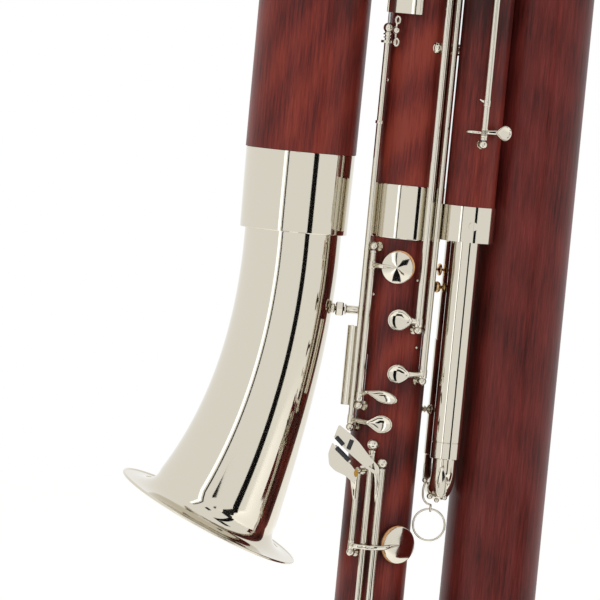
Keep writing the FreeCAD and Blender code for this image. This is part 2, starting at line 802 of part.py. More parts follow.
hollow_bow("top_bow", bass, bell_leg, d.bass_top, d.top_bow_leg, top_bow_radii,
           ("bass_bore_top", "bell_joint_bore_top"), True, 10)
hollow_bow("small_bow", wing, middle, d.middle_top, d.small_bow_leg, small_bow_radii,
           ("wing_bore_top", "middle_bore_top"), True, 8)
low_bow = hollow_bow("bottom_bow", middle, bass, d.joint_foot, d.bottom_bow_leg, bottom_bow_radii,
                     ("middle_bore_low", "bass_bore_low"), False, 8)

# Guard round the bottom bow

bow_span = bass.at(0) - middle.at(0)
bow_across = Vector(bow_span).normalize()
bow_back = UP.cross(bow_across)
bow_centre = (middle.at(0) + bass.at(0)) * 0.5 + UP * (d.joint_foot - d.bottom_bow_leg)
bow_radius = d.middle_bore_low / 2 + d.bass_bore_low / 2 + d.bow_wall


def on_bow(turn_deg, reach, back=0.0):
    """A point of the bow's plane at an angle below the level line and a reach from its centre."""
    turn = math.radians(turn_deg)
    out = bow_across * math.cos(turn) + UP * math.sin(turn)
    return bow_centre - out * reach + bow_back * back


guard_steps = [22.5 * step for step in range(1, 8)]
guard_inner = bow_span.Length / 2 + bow_radius - 2.5
guard_outer = bow_span.Length / 2 + bow_radius + d.guard_wall
guard_outline = [on_bow(turn, guard_inner, -d.guard_width / 2) for turn in guard_steps]
guard_outline += [on_bow(turn, guard_outer, -d.guard_width / 2) for turn in reversed(guard_steps)]
node("bow_guard", cut(sheet_metal(guard_outline, bow_back, "guard_width"), [low_bow]))

# End pin

pin_side = (bow_centre * -1).dot(bow_across)
bow_bottom = bow_centre.z - math.sqrt((bow_span.Length / 2) ** 2 - pin_side ** 2)
bracket = block("20", "22", "36", Vector(0, 0, bow_bottom) - bow_back * 15, UP, bow_across)
pin_hole = cylinder("pin_radius + pin_fit", "socket_height + 2", Vector(0, 0, d.socket_foot - 1))
screw_height = d.socket_foot + d.socket_height - 24
screw_base = Vector(0, 0, screw_height)
screw_hole = cylinder("screw_radius + pin_fit", "20", screw_base + bow_back * (d.pin_radius - 1), bow_back)
boss = cylinder("screw_radius + 3", "12", screw_base + bow_back * (d.pin_radius + 1), bow_back)
socket_tube = cylinder("socket_radius", "socket_height", Vector(0, 0, d.socket_foot))
node("pin_socket", cut(fuse([socket_tube, bracket, boss]), [low_bow, pin_hole, screw_hole]))
pin_shaft = cylinder("pin_radius", "pin_length - pin_foot_length", Vector(0, 0, d.pin_foot_length))
node("end_pin", fuse([cylinder("pin_foot_radius", "pin_foot_length + 1", Vector()), pin_shaft]))
screw_start = screw_base + bow_back * (d.pin_radius + 0.1)
knob_start = screw_base + bow_back * (d.pin_radius + 13.3)
node("pin_screw", fuse([cylinder("screw_radius", "14", screw_start, bow_back),
                        cylinder("screw_knob_radius", "screw_knob_height", knob_start, bow_back)]))

# First tube and tuning slide

receiver_foot = "bend_leg_top + 2"
cup_foot = "receiver_top - receiver_cup_height"
crook_socket = "crook_cork_radius + pin_fit"
node("receiver_tube", turned([
    ("slide_tube_radius - slide_wall", receiver_foot), ("slide_tube_radius", receiver_foot),
    ("slide_tube_radius", "receiver_sleeve_top"), ("receiver_top_radius", cup_foot),
    ("receiver_cup_radius", cup_foot), ("receiver_cup_radius", "receiver_top"),
    (crook_socket, "receiver_top"), (crook_socket, cup_foot + " + 4"),
    ("receiver_top_radius - 2 * slide_wall", cup_foot + " + 4")],
    receiver.at(0)))

sleeve_bore = "slide_tube_radius + slide_fit"
wing_sleeve = turned([
    (sleeve_bore, "sleeve_foot"), ("sleeve_radius", "sleeve_foot"), ("sleeve_radius", "sleeve_top"),
    ("slide_tube_radius", "sleeve_top"), ("slide_tube_radius", "wing_foot"),
    ("slide_tube_radius - slide_wall", "wing_foot"), ("slide_tube_radius - slide_wall", receiver_foot),
    (sleeve_bore, receiver_foot)], wing.at(0))
receiver_sleeve = turned([
    (sleeve_bore, "sleeve_foot"), ("sleeve_radius", "sleeve_foot"), ("sleeve_radius", "receiver_sleeve_top"),
    ("slide_tube_radius", "receiver_sleeve_top"), ("slide_tube_radius", receiver_foot),
    (sleeve_bore, receiver_foot)], receiver.at(0))
node("slide_sleeves", group([wing_sleeve, receiver_sleeve]))

slide_bore = "slide_tube_radius - slide_wall"
bend_outside, bend_inside = bow(wing, receiver, d.bend_leg_top, d.bend_leg_top - d.bend_centre,
                                ("slide_tube_radius", "slide_tube_radius"), (slide_bore, slide_bore),
                                False, 8)
key_pin = Vector(wing.x, wing.y - 16.0, d.bend_centre - 8.9)
cork_seat = Vector(wing.x, wing.y - 14.3, d.bend_centre - 17.9)
spout = cylinder("spout_radius", "12", cork_seat - FRONT * 12, FRONT)
spout_hole = cylinder("spout_radius / 2", "14", cork_seat - FRONT * 13, FRONT)
lugs = [block("1.6", "11", "5", key_pin + RIGHT * side + FRONT * -3.5) for side in (-4.4, 4.4)]
hinge_pin = cylinder("water_pin_radius", "10", key_pin - RIGHT * 5, RIGHT)
ring_height = d.bend_centre - d.ring_drop
eye = Vector(middle.x + d.ring_offset, wing.y + d.ring_back, ring_height + d.ring_radius + 0.9)
hook_reach = math.sqrt(d.slide_tube_radius ** 2 - d.ring_back ** 2)
hook = bent_bar([Vector(wing.x - hook_reach + 0.6, eye.y, d.bend_centre + 2.1), eye + Vector(-8.5, 0, 32.0),
                 eye + Vector(-8.5, 0, 10.0), eye + Vector(0, 0, 3.3)], ["hook_wire"] * 4, FRONT)
eye_ring = torus("3", "hook_wire", eye, RIGHT)
node("u_bend", cut(fuse([bend_outside, spout, hook, eye_ring, hinge_pin] + lugs), [bend_inside, spout_hole]))

lever_centre = key_pin + FRONT * 1.4
barrel = cylinder("water_pin_radius + 1.1", "6.4", key_pin - RIGHT * 3.2, RIGHT)
lever = block("6.5", "1.8", "27.8", lever_centre)
lid = cylinder("cork_radius + 0.5", "1.8", Vector(cork_seat.x, lever_centre.y + 0.9, cork_seat.z), FRONT)
barrel_hole = cylinder("water_pin_radius + pivot_fit", "8", key_pin - RIGHT * 4, RIGHT)
node("water_key", cut(fuse([barrel, lever, lid]), [barrel_hole]))
cork_length = write_cell("cork_length", cork_seat.y - 0.1 - (lever_centre.y + 0.9))
node("water_key_cork", cylinder("cork_radius", cork_length, cork_seat + FRONT * 0.1, FRONT))

ring_centre = Vector(eye.x, eye.y, ring_height)
ring_steps = 20
ring_stations = []
for step in range(ring_steps + 1):
    turn = 2 * math.pi * step / ring_steps
    place = ring_centre + RIGHT * (d.ring_radius * math.cos(turn)) + UP * (d.ring_radius * math.sin(turn))
    ring_stations.append((place, UP * math.cos(turn) - RIGHT * math.sin(turn), "ring_wire"))
half = ring_steps // 2 + 1
node("pull_ring", fuse([loft(ring_stations[:half], FRONT), loft(ring_stations[half - 1:], FRONT)]))

# Crook


def crook_solid(taken, tip_taken):
    """The crook's outer form, or its bore when the wall is taken off."""
    back = FRONT * -1
    bend = receiver.at(d.receiver_top + d.crook_rise) + back * d.crook_arc_radius
    arc = d.crook_arc_radius * math.pi / 2
    whole = d.crook_rise + arc + d.crook_run
    stations = [(receiver.at(d.receiver_top - d.receiver_cup_height + 6), UP, "crook_foot_radius" + taken),
                (receiver.at(d.receiver_top), UP, "crook_foot_radius" + taken)]
    runs = [(d.crook_rise + arc * step / 5, math.pi / 2 * step / 5) for step in range(6)]
    for run, turn in runs:
        rise = UP * math.sin(turn) - back * math.cos(turn)
        place = bend + rise * d.crook_arc_radius
        size = "crook_foot_radius - (crook_foot_radius - crook_tip_radius) * %.4f" % (run / whole)
        stations.append((place, UP * math.cos(turn) + back * math.sin(turn), size + taken))
    tip = bend + UP * d.crook_arc_radius + back * d.crook_run
    stations.append((tip, back, "crook_tip_radius" + tip_taken))
    stations.append((tip + back * 8, back, "crook_tip_radius" + tip_taken))
    return loft(stations, RIGHT)


node("crook", cut(crook_solid("", ""), [crook_solid(" - crook_wall", " - 2 * crook_wall")]))
cork_foot = cup_foot + " + 8"
node("crook_cork", turned([("crook_foot_radius", cork_foot), ("crook_cork_radius", cork_foot),
                           ("crook_cork_radius", "receiver_top - 2"),
                           ("crook_foot_radius", "receiver_top - 2")], receiver.at(0)))

# Bell stay

stay_height = d.collar_foot - d.stay_drop
stay = middle.at(stay_height)
stay_rod = cylinder("stay_rod_radius", "18", stay - RIGHT * 49.0, RIGHT)
stay_thread = cylinder("stay_thread_radius", "16", stay - RIGHT * 64.0, RIGHT)
stay_foot = cylinder("stay_nut_radius", "7", stay - RIGHT * 67.0, RIGHT)
stay_solid = fuse([stay_rod, stay_thread, stay_foot])
node("bell_stay", cut(stay_solid, [bell_outer, middle.plug(stay_height - 20, "40")]))
nut = cylinder("stay_nut_radius", "stay_nut_length", stay - RIGHT * 57.2, RIGHT)
node("stay_nut", cut(nut, [cylinder("stay_thread_radius + pivot_fit", "12", stay - RIGHT * 60.0, RIGHT)]))

# Braces between the tubes


def brace(first, second, height, radius, waist, first_radius=None, second_radius=None):
    """A turned brace from one tube to the next, with a collar at each end and one in the middle."""
    start = first.at(height)
    along = second.at(height) - start
    whole = along.Length
    along.normalize()
    near = first_radius or first.radius
    far = second_radius or second.radius
    gap = whole - near - far
    parts = [cylinder(waist, gap + 2, start + along * (near - 1), along),
             cylinder(radius, 1 + gap * 0.14, start + along * (near - 1), along),
             cylinder(radius, 1 + gap * 0.14, start + along * (whole - far - gap * 0.14), along),
             cylinder(radius, gap * 0.16, start + along * (near + gap * 0.42), along)]
    tools = [cylinder(near, 4 * radius, first.at(height - 2 * radius)),
             cylinder(far, 4 * radius, second.at(height - 2 * radius))]
    return cut(fuse(parts), tools)


node("tube_braces", group([
    brace(middle, wing, 668.4, 6.0, 4.2, second_radius=d.sleeve_radius),
    brace(middle, wing, 799.7, 3.6, 2.2, second_radius=d.slide_tube_radius),
    brace(middle, wing, 1005.0, 6.0, 5.0),
    brace(receiver, bass, 690.0, 5.0, 3.4, first_radius=d.sleeve_radius),
    brace(middle, bass, 470.0, 8.0, 5.0),
    brace(middle, bass, 300.0, 8.0, 5.0),
    brace(bell_leg, middle, 1226.0, 7.0, 4.6,
          first_radius=d.bell_joint_radius_low + (d.bell_joint_radius_top - d.bell_joint_radius_low) * 0.8)]))

# Seats, posts, pivots and springs of all keys


def on_legs(pieces_of, tools_of):
    """Collects pieces leg by leg, cut to the round of the wood."""
    groups = []
    for leg in (middle, wing, bass):
        own = [key for key in keys if key.leg is leg]
        pieces = [piece for key in own for piece in pieces_of(key)]
        wood = leg.plug(d.joint_foot, d.bass_top - d.joint_foot)
        groups.append(cut(group(pieces), [wood] + [tool for key in own for tool in tools_of(key)]))
    return group(groups)


node("tone_hole_chimneys", on_legs(lambda key: [key.chimney()], lambda key: []))
node("ball_posts", on_legs(lambda key: key.posts(), lambda key: [key.pivot()]))
node("pivot_rods", group([key.pivot() for key in keys]))
node("needle_springs", group([key.spring() for key in keys]))

# Guards, screws and eyelet

guard_axis = on_middle(-38.2, 667.2, 10.0)
guard_out = Vector(guard_axis.x - middle.x, guard_axis.y - middle.y, 0).normalize()
half_shell = cut(cylinder("6.2", "74", guard_axis),
                 [cylinder("5.2", "76", guard_axis - UP),
                  block("12.4", "20", "76", guard_axis + UP * 37 - guard_out * 10, UP, guard_out * -1)])
shell_feet = [block("12", "11.4", "5", guard_axis + UP * height - guard_out * 4, UP, guard_out)
              for height in (2.5, 71.5)]
low_guard = cut(fuse([half_shell] + shell_feet), [middle.plug(600, "200")])


def curved_plate(leg, reach, thickness, from_angle, to_angle, foot, height):
    """A plate bent round a tube between two angles."""
    points = [leg.point(angle, reach + step, foot)
              for step, angles in ((0, (0.0, 0.25, 0.5, 0.75, 1.0)), (thickness, (1.0, 0.75, 0.5, 0.25, 0.0)))
              for angle in [from_angle + (to_angle - from_angle) * part for part in angles]]
    return sheet_metal(points, UP, height)


high_plate = curved_plate(middle, 35.0, 1.2, -64.0, -9.0, 1034.0, "58")
plate_feet = [cylinder("2.4", "4", middle.point(angle, 31.6, height), middle.out(angle))
              for angle in (-60.0, -14.0) for height in (1040.0, 1086.0)]
high_guard = cut(fuse([high_plate] + plate_feet), [middle.plug(1000, "200")])
node("key_guards", group([low_guard, high_guard]))


def slotted_screw(leg, reach, angle, height, radius):
    """A slotted screw head seated on a band."""
    out = leg.out(angle)
    head = cylinder(radius, "2.2", leg.point(angle, reach - 0.6, height), out)
    slot = block("1", "1.6", 2 * radius + 1, leg.point(angle, reach + 1.6, height), UP, UP.cross(out))
    return cut(head, [slot, cylinder(reach, 4 * radius, leg.at(height - 2 * radius))])


wing_band = d.wing_radius + d.ferrule_wall
middle_band = d.middle_radius + d.ferrule_wall
node("band_screws", group([slotted_screw(wing, wing_band, 10.0, 844.5, 4.1),
                           slotted_screw(middle, middle_band, 150.0, 851.0, 3.4),
                           slotted_screw(middle, middle_band, 210.0, 851.0, 3.4)]))
eyelet = bass.point(180.0, d.bass_radius + d.eyelet_stand_off, d.eyelet_height)
eyelet_ring = cylinder("eyelet_radius", "eyelet_thickness", eyelet - RIGHT * (d.eyelet_thickness / 2), RIGHT)
eyelet_stem = cylinder("eyelet_thickness / 2", "eyelet_stand_off + 1", eyelet, FRONT)
eyelet_foot = cylinder("eyelet_radius - 1", "3", eyelet + FRONT * (d.eyelet_stand_off - 2), FRONT)
eyelet_hole = cylinder("eyelet_bore", "2 * eyelet_thickness", eyelet - RIGHT * d.eyelet_thickness, RIGHT)
node("strap_eyelet", cut(fuse([eyelet_ring, eyelet_stem, eyelet_foot]),
                         [eyelet_hole, bass.plug(d.eyelet_height - 20, "40")]))

# Checks and export

doc.recompute()
for thing in doc.Objects:
    if "Invalid" in thing.State or "Error" in thing.State:
        raise RuntimeError(thing.Name + " failed")
os.makedirs("parts", exist_ok=True)
for thing in NODES:
    if thing.Shape.isNull() or not thing.Shape.isValid():
        raise RuntimeError(thing.Label + " has no valid shape")
    thing.Shape.exportStep("parts/%s.step" % thing.Label)
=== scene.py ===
"""The contrabassoon dressed for the photograph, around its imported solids.

Sizes in the classes are millimetres, as in the part's source, and every mesh is written in metres.
"""

import json
import logging
import math
from dataclasses import dataclass, field, replace
from enum import Enum
from typing import Iterable, Optional, Sequence

import bmesh
import bpy
from mathutils import Matrix, Vector

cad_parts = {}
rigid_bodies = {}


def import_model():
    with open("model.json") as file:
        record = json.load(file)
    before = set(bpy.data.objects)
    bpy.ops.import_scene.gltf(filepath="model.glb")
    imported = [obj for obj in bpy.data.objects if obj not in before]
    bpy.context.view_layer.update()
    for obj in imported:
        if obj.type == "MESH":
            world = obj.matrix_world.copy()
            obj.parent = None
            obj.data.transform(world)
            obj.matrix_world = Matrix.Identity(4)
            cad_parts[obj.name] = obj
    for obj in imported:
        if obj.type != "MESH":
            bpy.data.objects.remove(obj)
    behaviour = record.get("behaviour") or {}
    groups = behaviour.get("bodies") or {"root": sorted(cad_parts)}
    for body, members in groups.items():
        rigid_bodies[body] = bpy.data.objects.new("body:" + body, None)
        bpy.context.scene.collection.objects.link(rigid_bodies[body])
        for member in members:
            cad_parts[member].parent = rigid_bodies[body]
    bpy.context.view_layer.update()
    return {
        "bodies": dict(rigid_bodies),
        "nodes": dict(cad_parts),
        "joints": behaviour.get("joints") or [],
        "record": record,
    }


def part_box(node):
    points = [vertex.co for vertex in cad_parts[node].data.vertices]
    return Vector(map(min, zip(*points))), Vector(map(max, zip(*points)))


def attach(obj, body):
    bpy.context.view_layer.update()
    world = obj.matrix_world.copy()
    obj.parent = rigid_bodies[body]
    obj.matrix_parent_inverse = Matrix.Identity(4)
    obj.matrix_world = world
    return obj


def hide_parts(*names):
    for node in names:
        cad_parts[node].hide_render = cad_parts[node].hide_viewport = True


log = logging.getLogger("contrabassoon")

MM = 0.001
UP = Vector((0.0, 0.0, 1.0))
DOWN = Vector((0.0, 0.0, -1.0))
RIGHT = Vector((1.0, 0.0, 0.0))
FRONT = Vector((0.0, -1.0, 0.0))

# Radius at which turned outlines meet their axis, the smallest ring, and the metres within which
# points are merged
CORE = 0.02
SMALLEST = 0.001
MERGE_M = 1e-6

# Heights of the wooden joints' ends and of the bell collar's foot
FOOT = 230.0
MIDDLE_TOP = 1270.0
BASS_TOP = 1320.0
COLLAR_FOOT = 823.3

# Radii of the bows at their first and their second upright
TOP_BOW = (39.5, 41.5)
SMALL_BOW = (19.0, 20.0)
BOTTOM_BOW = (28.5, 30.0)


def put(name: str, data: bpy.types.ID) -> bpy.types.Object:
    """Adds an object with the given data to the scene."""
    piece = bpy.data.objects.new(name, data)
    bpy.context.scene.collection.objects.link(piece)
    return piece


# Finishes


class Slot(Enum):
    """Material slots of the record that a piece takes its finish from."""

    WOOD = "red_wood"
    SILVER = "silver"
    STEEL = "steel"
    LEATHER = "pad_leather"
    CORK = "cork"
    RESIN = "black_roller"


@dataclass(frozen=True)
class NodeKit:
    """Short ways to add nodes to one tree."""

    tree: bpy.types.NodeTree

    def add(self, kind: str, **values: object) -> bpy.types.Node:
        """Adds a node and sets its properties or inputs.

        Args:
            kind: The node's type name.
            **values: Property or input values by name, spaces written as underscores.

        Returns:
            The new node.
        """
        node = self.tree.nodes.new(kind)
        self.tune(node, **values)
        return node

    def tune(self, node: bpy.types.Node, **values: object) -> None:
        """Sets properties or inputs of a node by name, spaces written as underscores."""
        for name, value in values.items():
            if hasattr(node, name):
                setattr(node, name, value)
            else:
                node.inputs[name.replace("_", " ")].default_value = value

    def link(self, source: bpy.types.NodeSocket, target: bpy.types.NodeSocket) -> None:
        """Joins two sockets."""
        self.tree.links.new(source, target)

    def math(self, operation: str, *inputs: object) -> bpy.types.NodeSocket:
        """Adds a Math node.

        Args:
            operation: The operation's name.
            *inputs: Sockets or numbers, in order.

        Returns:
            The result's socket.
        """
        node = self.tree.nodes.new("ShaderNodeMath")
        node.operation = operation
        for place, value in enumerate(inputs):
            if isinstance(value, bpy.types.NodeSocket):
                self.link(value, node.inputs[place])
            else:
                node.inputs[place].default_value = value
        return node.outputs[0]

    def ramp(self, source: bpy.types.NodeSocket, stops: Sequence[tuple]) -> bpy.types.NodeSocket:
        """Adds a colour ramp.

        Args:
            source: The socket that drives the ramp.
            stops: Pairs of position and colour, at least two.

        Returns:
            The colour's socket.
        """
        node = self.tree.nodes.new("ShaderNodeValToRGB")
        elements = node.color_ramp.elements
        while len(elements) < len(stops):
            elements.new(0.5)
        for element, (position, colour) in zip(elements, stops):
            element.position = position
            element.color = (*colour, 1.0)
        self.link(source, node.inputs["Fac"])
        return node.outputs["Color"]

    def place(self) -> bpy.types.NodeSocket:
        """Gives the piece's own coordinates."""
        return self.add("ShaderNodeTexCoord").outputs["Object"]

    def stretched(self, along: float) -> bpy.types.NodeSocket:
        """Gives the piece's own coordinates with their height multiplied."""
        mapping = self.add("ShaderNodeMapping", Scale=(1.0, 1.0, along))
        self.link(self.place(), mapping.inputs["Vector"])
        return mapping.outputs["Vector"]

    def noise(self, vector: bpy.types.NodeSocket, scale: float, detail: float) -> bpy.types.NodeSocket:
        """Adds a noise texture.

        Args:
            vector: Where the noise is read.
            scale: Its scale.
            detail: Its detail.

        Returns:
            The value's socket.
        """
        node = self.add("ShaderNodeTexNoise", Scale=scale, Detail=detail, Roughness=0.55)
        self.link(vector, node.inputs["Vector"])
        return node.outputs["Fac"]


def new_material(name: str) -> tuple[bpy.types.Material, NodeKit, bpy.types.Node]:
    """Makes a material with one Principled shader.

    Args:
        name: The material's name.

    Returns:
        The material, a kit for its tree and its Principled node.
    """
    material = bpy.data.materials.new(name)
    material.use_nodes = True
    return material, NodeKit(material.node_tree), material.node_tree.nodes["Principled BSDF"]


@dataclass(frozen=True)
class Varnish:
    """Red-stained maple under polished varnish: fine grain along the tube and clouds of stain."""

    name: str = "stained_maple"
    dark: tuple = (0.030, 0.0058, 0.0052)
    deep: tuple = (0.082, 0.0115, 0.0092)
    middle: tuple = (0.138, 0.0180, 0.0130)
    light: tuple = (0.215, 0.0330, 0.0200)
    pore_scale: float = 1500.0
    grain_scale: float = 420.0
    cloud_scale: float = 19.0
    ring_scale: float = 15.0
    pore_share: float = 0.30
    grain_share: float = 0.36
    cloud_share: float = 0.30
    figure: float = 0.05
    # Heights in metres at which the tone starts and stops darkening, and how much it darkens
    gloom: tuple = (0.0, 1.0, 0.0)
    stops: tuple = (0.33, 0.43, 0.52, 0.66)
    roughness: float = 0.42
    specular: float = 0.16
    coat: float = 0.12
    coat_roughness: float = 0.22

    def build(self) -> bpy.types.Material:
        """Makes the wood."""
        material, kit, shader = new_material(self.name)
        pores = kit.noise(kit.stretched(0.045), self.pore_scale, 2.0)
        grain = kit.noise(kit.stretched(0.05), self.grain_scale, 3.0)
        cloud = kit.noise(kit.stretched(0.42), self.cloud_scale, 2.5)
        figure = kit.add("ShaderNodeTexWave", wave_type="RINGS", rings_direction="Y",
                         Scale=self.ring_scale, Distortion=3.2, Detail=1.5, Detail_Scale=1.1)
        kit.link(kit.stretched(0.30), figure.inputs["Vector"])
        split = kit.add("ShaderNodeSeparateXYZ")
        kit.link(kit.place(), split.inputs[0])
        # The tone is lowered by the set amount, from none at the first height to all of it at the second
        start, end, amount = self.gloom
        shade = kit.add("ShaderNodeMapRange", From_Min=start, From_Max=end, To_Min=0.0, To_Max=-amount)
        kit.link(split.outputs["Z"], shade.inputs["Value"])
        tone = kit.math("MULTIPLY", grain, self.grain_share)
        tone = kit.math("MULTIPLY_ADD", pores, self.pore_share, tone)
        tone = kit.math("MULTIPLY_ADD", cloud, self.cloud_share, tone)
        tone = kit.math("MULTIPLY_ADD", figure.outputs["Fac"], self.figure, tone)
        tone = kit.math("ADD", tone, shade.outputs["Result"])
        colours = (self.dark, self.deep, self.middle, self.light)
        kit.link(kit.ramp(tone, tuple(zip(self.stops, colours))), shader.inputs["Base Color"])
        kit.tune(shader, Roughness=self.roughness, Specular_IOR_Level=self.specular,
                 Coat_Weight=self.coat, Coat_Roughness=self.coat_roughness)
        return material


@dataclass(frozen=True)
class Metal:
    """A polished or ground metal, with faint waves where it is hand-beaten and buffed."""

    name: str
    colour: tuple
    roughness: float
    wave: float = 0.0
    wave_scale: float = 60.0

    def build(self) -> bpy.types.Material:
        """Makes the metal."""
        material, kit, shader = new_material(self.name)
        kit.tune(shader, Base_Color=(*self.colour, 1.0), Metallic=1.0, Roughness=self.roughness)
        if self.wave:
            height = kit.noise(kit.stretched(0.6), self.wave_scale, 1.0)
            bump = kit.add("ShaderNodeBump", Strength=self.wave, Distance=0.001)
            kit.link(height, bump.inputs["Height"])
            kit.link(bump.outputs["Normal"], shader.inputs["Normal"])
        return material


@dataclass(frozen=True)
class Speckled:
    """A soft stuff with small darker flecks, such as cork or pad skin."""

    name: str
    colour: tuple
    fleck: tuple
    roughness: float
    scale: float

    def build(self) -> bpy.types.Material:
        """Makes the stuff."""
        material, kit, shader = new_material(self.name)
        value = kit.noise(kit.stretched(1.0), self.scale, 4.0)
        kit.link(kit.ramp(value, ((0.42, self.fleck), (0.56, self.colour))), shader.inputs["Base Color"])
        kit.tune(shader, Roughness=self.roughness)
        return material


@dataclass(frozen=True)
class Resin:
    """Polished black resin."""

    name: str = "black_resin"
    colour: tuple = (0.012, 0.013, 0.016)
    roughness: float = 0.22

    def build(self) -> bpy.types.Material:
        """Makes the resin."""
        material, kit, shader = new_material(self.name)
        kit.tune(shader, Base_Color=(*self.colour, 1.0), Roughness=self.roughness)
        return material


@dataclass
class Finishes:
    """Every finish of the instrument, built once."""

    wood: Varnish = Varnish()
    silver: Metal = Metal("silver_plate", (0.672, 0.630, 0.535), 0.06, 0.018, 38.0)
    steel: Metal = Metal("ground_steel", (0.50, 0.51, 0.53), 0.24)
    brass: Metal = Metal("bare_brass", (0.62, 0.40, 0.20), 0.16)
    leather: Speckled = Speckled("pad_skin", (0.66, 0.36, 0.16), (0.52, 0.25, 0.10), 0.6, 900.0)
    cork: Speckled = Speckled("cork_stuff", (0.58, 0.36, 0.17), (0.34, 0.18, 0.08), 0.8, 1400.0)
    bumper: Speckled = Speckled("bumper_cork", (0.46, 0.27, 0.02), (0.30, 0.14, 0.02), 0.7, 1500.0)
    resin: Resin = Resin()
    made: dict = field(default_factory=dict)
    woods: dict = field(default_factory=dict)
    brass_made: Optional[bpy.types.Material] = None
    bumper_made: Optional[bpy.types.Material] = None

    def build(self) -> None:
        """Makes the materials of all slots, and the two of single small pieces."""
        self.made = {
            Slot.WOOD: self.wood.build(),
            Slot.SILVER: self.silver.build(),
            Slot.STEEL: self.steel.build(),
            Slot.LEATHER: self.leather.build(),
            Slot.CORK: self.cork.build(),
            Slot.RESIN: self.resin.build(),
        }
        self.brass_made = self.brass.build()
        self.bumper_made = self.bumper.build()
        # Each joint's wood darkens over its own heights: the middle joint below 0.8 m, the wing and bell
        # joints towards their tops, the bass joint all over
        self.woods = {
            "middle_joint": replace(self.wood, name="middle_maple", figure=0.17,
                                    gloom=(0.90, 0.80, 0.07)),
            "wing_joint": replace(self.wood, name="wing_maple", gloom=(0.95, 1.02, 0.11)),
            "bass_joint": replace(self.wood, name="bass_maple", gloom=(0.0, 0.1, 0.04),
                                  middle=(0.118, 0.0165, 0.0140), light=(0.175, 0.0280, 0.0220)),
            "bell_joint": replace(self.wood, name="bell_maple", figure=0.08,
                                  gloom=(1.0, 1.06, 0.05)),
        }
        self.woods = {node: wood.build() for node, wood in self.woods.items()}

    def dress(self, piece: bpy.types.Object, slot: Slot) -> None:
        """Gives a piece the finish of a slot."""
        self.paint(piece, self.made[slot])

    def paint(self, piece: bpy.types.Object, material: bpy.types.Material) -> None:
        """Gives a piece one material."""
        piece.data.materials.clear()
        piece.data.materials.append(material)


# Making meshes


@dataclass(frozen=True)
class Station:
    """One cross-section of a bar: its centre, and its half width and half height."""

    place: Vector
    wide: float
    high: float


def turns(count: int) -> list[float]:
    """Gives the angles of one whole turn in equal steps."""
    return [2 * math.pi * step / count for step in range(count)]


def oval(centre: Vector, first: Vector, second: Vector, sizes: tuple[float, float],
         count: int) -> list[Vector]:
    """Gives the points of an oval or a circle.

    Args:
        centre: Its middle.
        first: The direction of the first point.
        second: The direction a quarter of a turn later.
        sizes: The half sizes along both directions.
        count: How many points it has.

    Returns:
        The points in order.
    """
    wide, high = sizes
    return [centre + first * (wide * math.cos(turn)) + second * (high * math.sin(turn))
            for turn in turns(count)]


def smooth_run(stations: Sequence[Station], steps: int) -> list[Station]:
    """Rounds a run of stations into a smooth curve through them.

    Args:
        stations: The given stations.
        steps: How many steps each stretch gets.

    Returns:
        The finer run.
    """
    finer = []
    last = len(stations) - 1
    for index in range(last):
        around = [stations[min(max(index + shift, 0), last)] for shift in (-1, 0, 1, 2)]
        for step in range(steps):
            finer.append(blend_station(around, step / steps))
    finer.append(stations[last])
    return finer


def blend_station(around: Sequence[Station], t: float) -> Station:
    """Reads a smooth curve between the second and the third of four stations.

    Args:
        around: Four stations in a row.
        t: How far along the middle stretch, from 0 to 1.

    Returns:
        The station there.
    """
    square, cube = t * t, t * t * t
    weights = ((-cube + 2 * square - t) / 2, (3 * cube - 5 * square + 2) / 2,
               (-3 * cube + 4 * square + t) / 2, (cube - square) / 2)
    place = sum((station.place * weight for station, weight in zip(around, weights)), Vector())
    first, second = around[1], around[2]
    return Station(place, first.wide + (second.wide - first.wide) * t,
                   first.high + (second.high - first.high) * t)


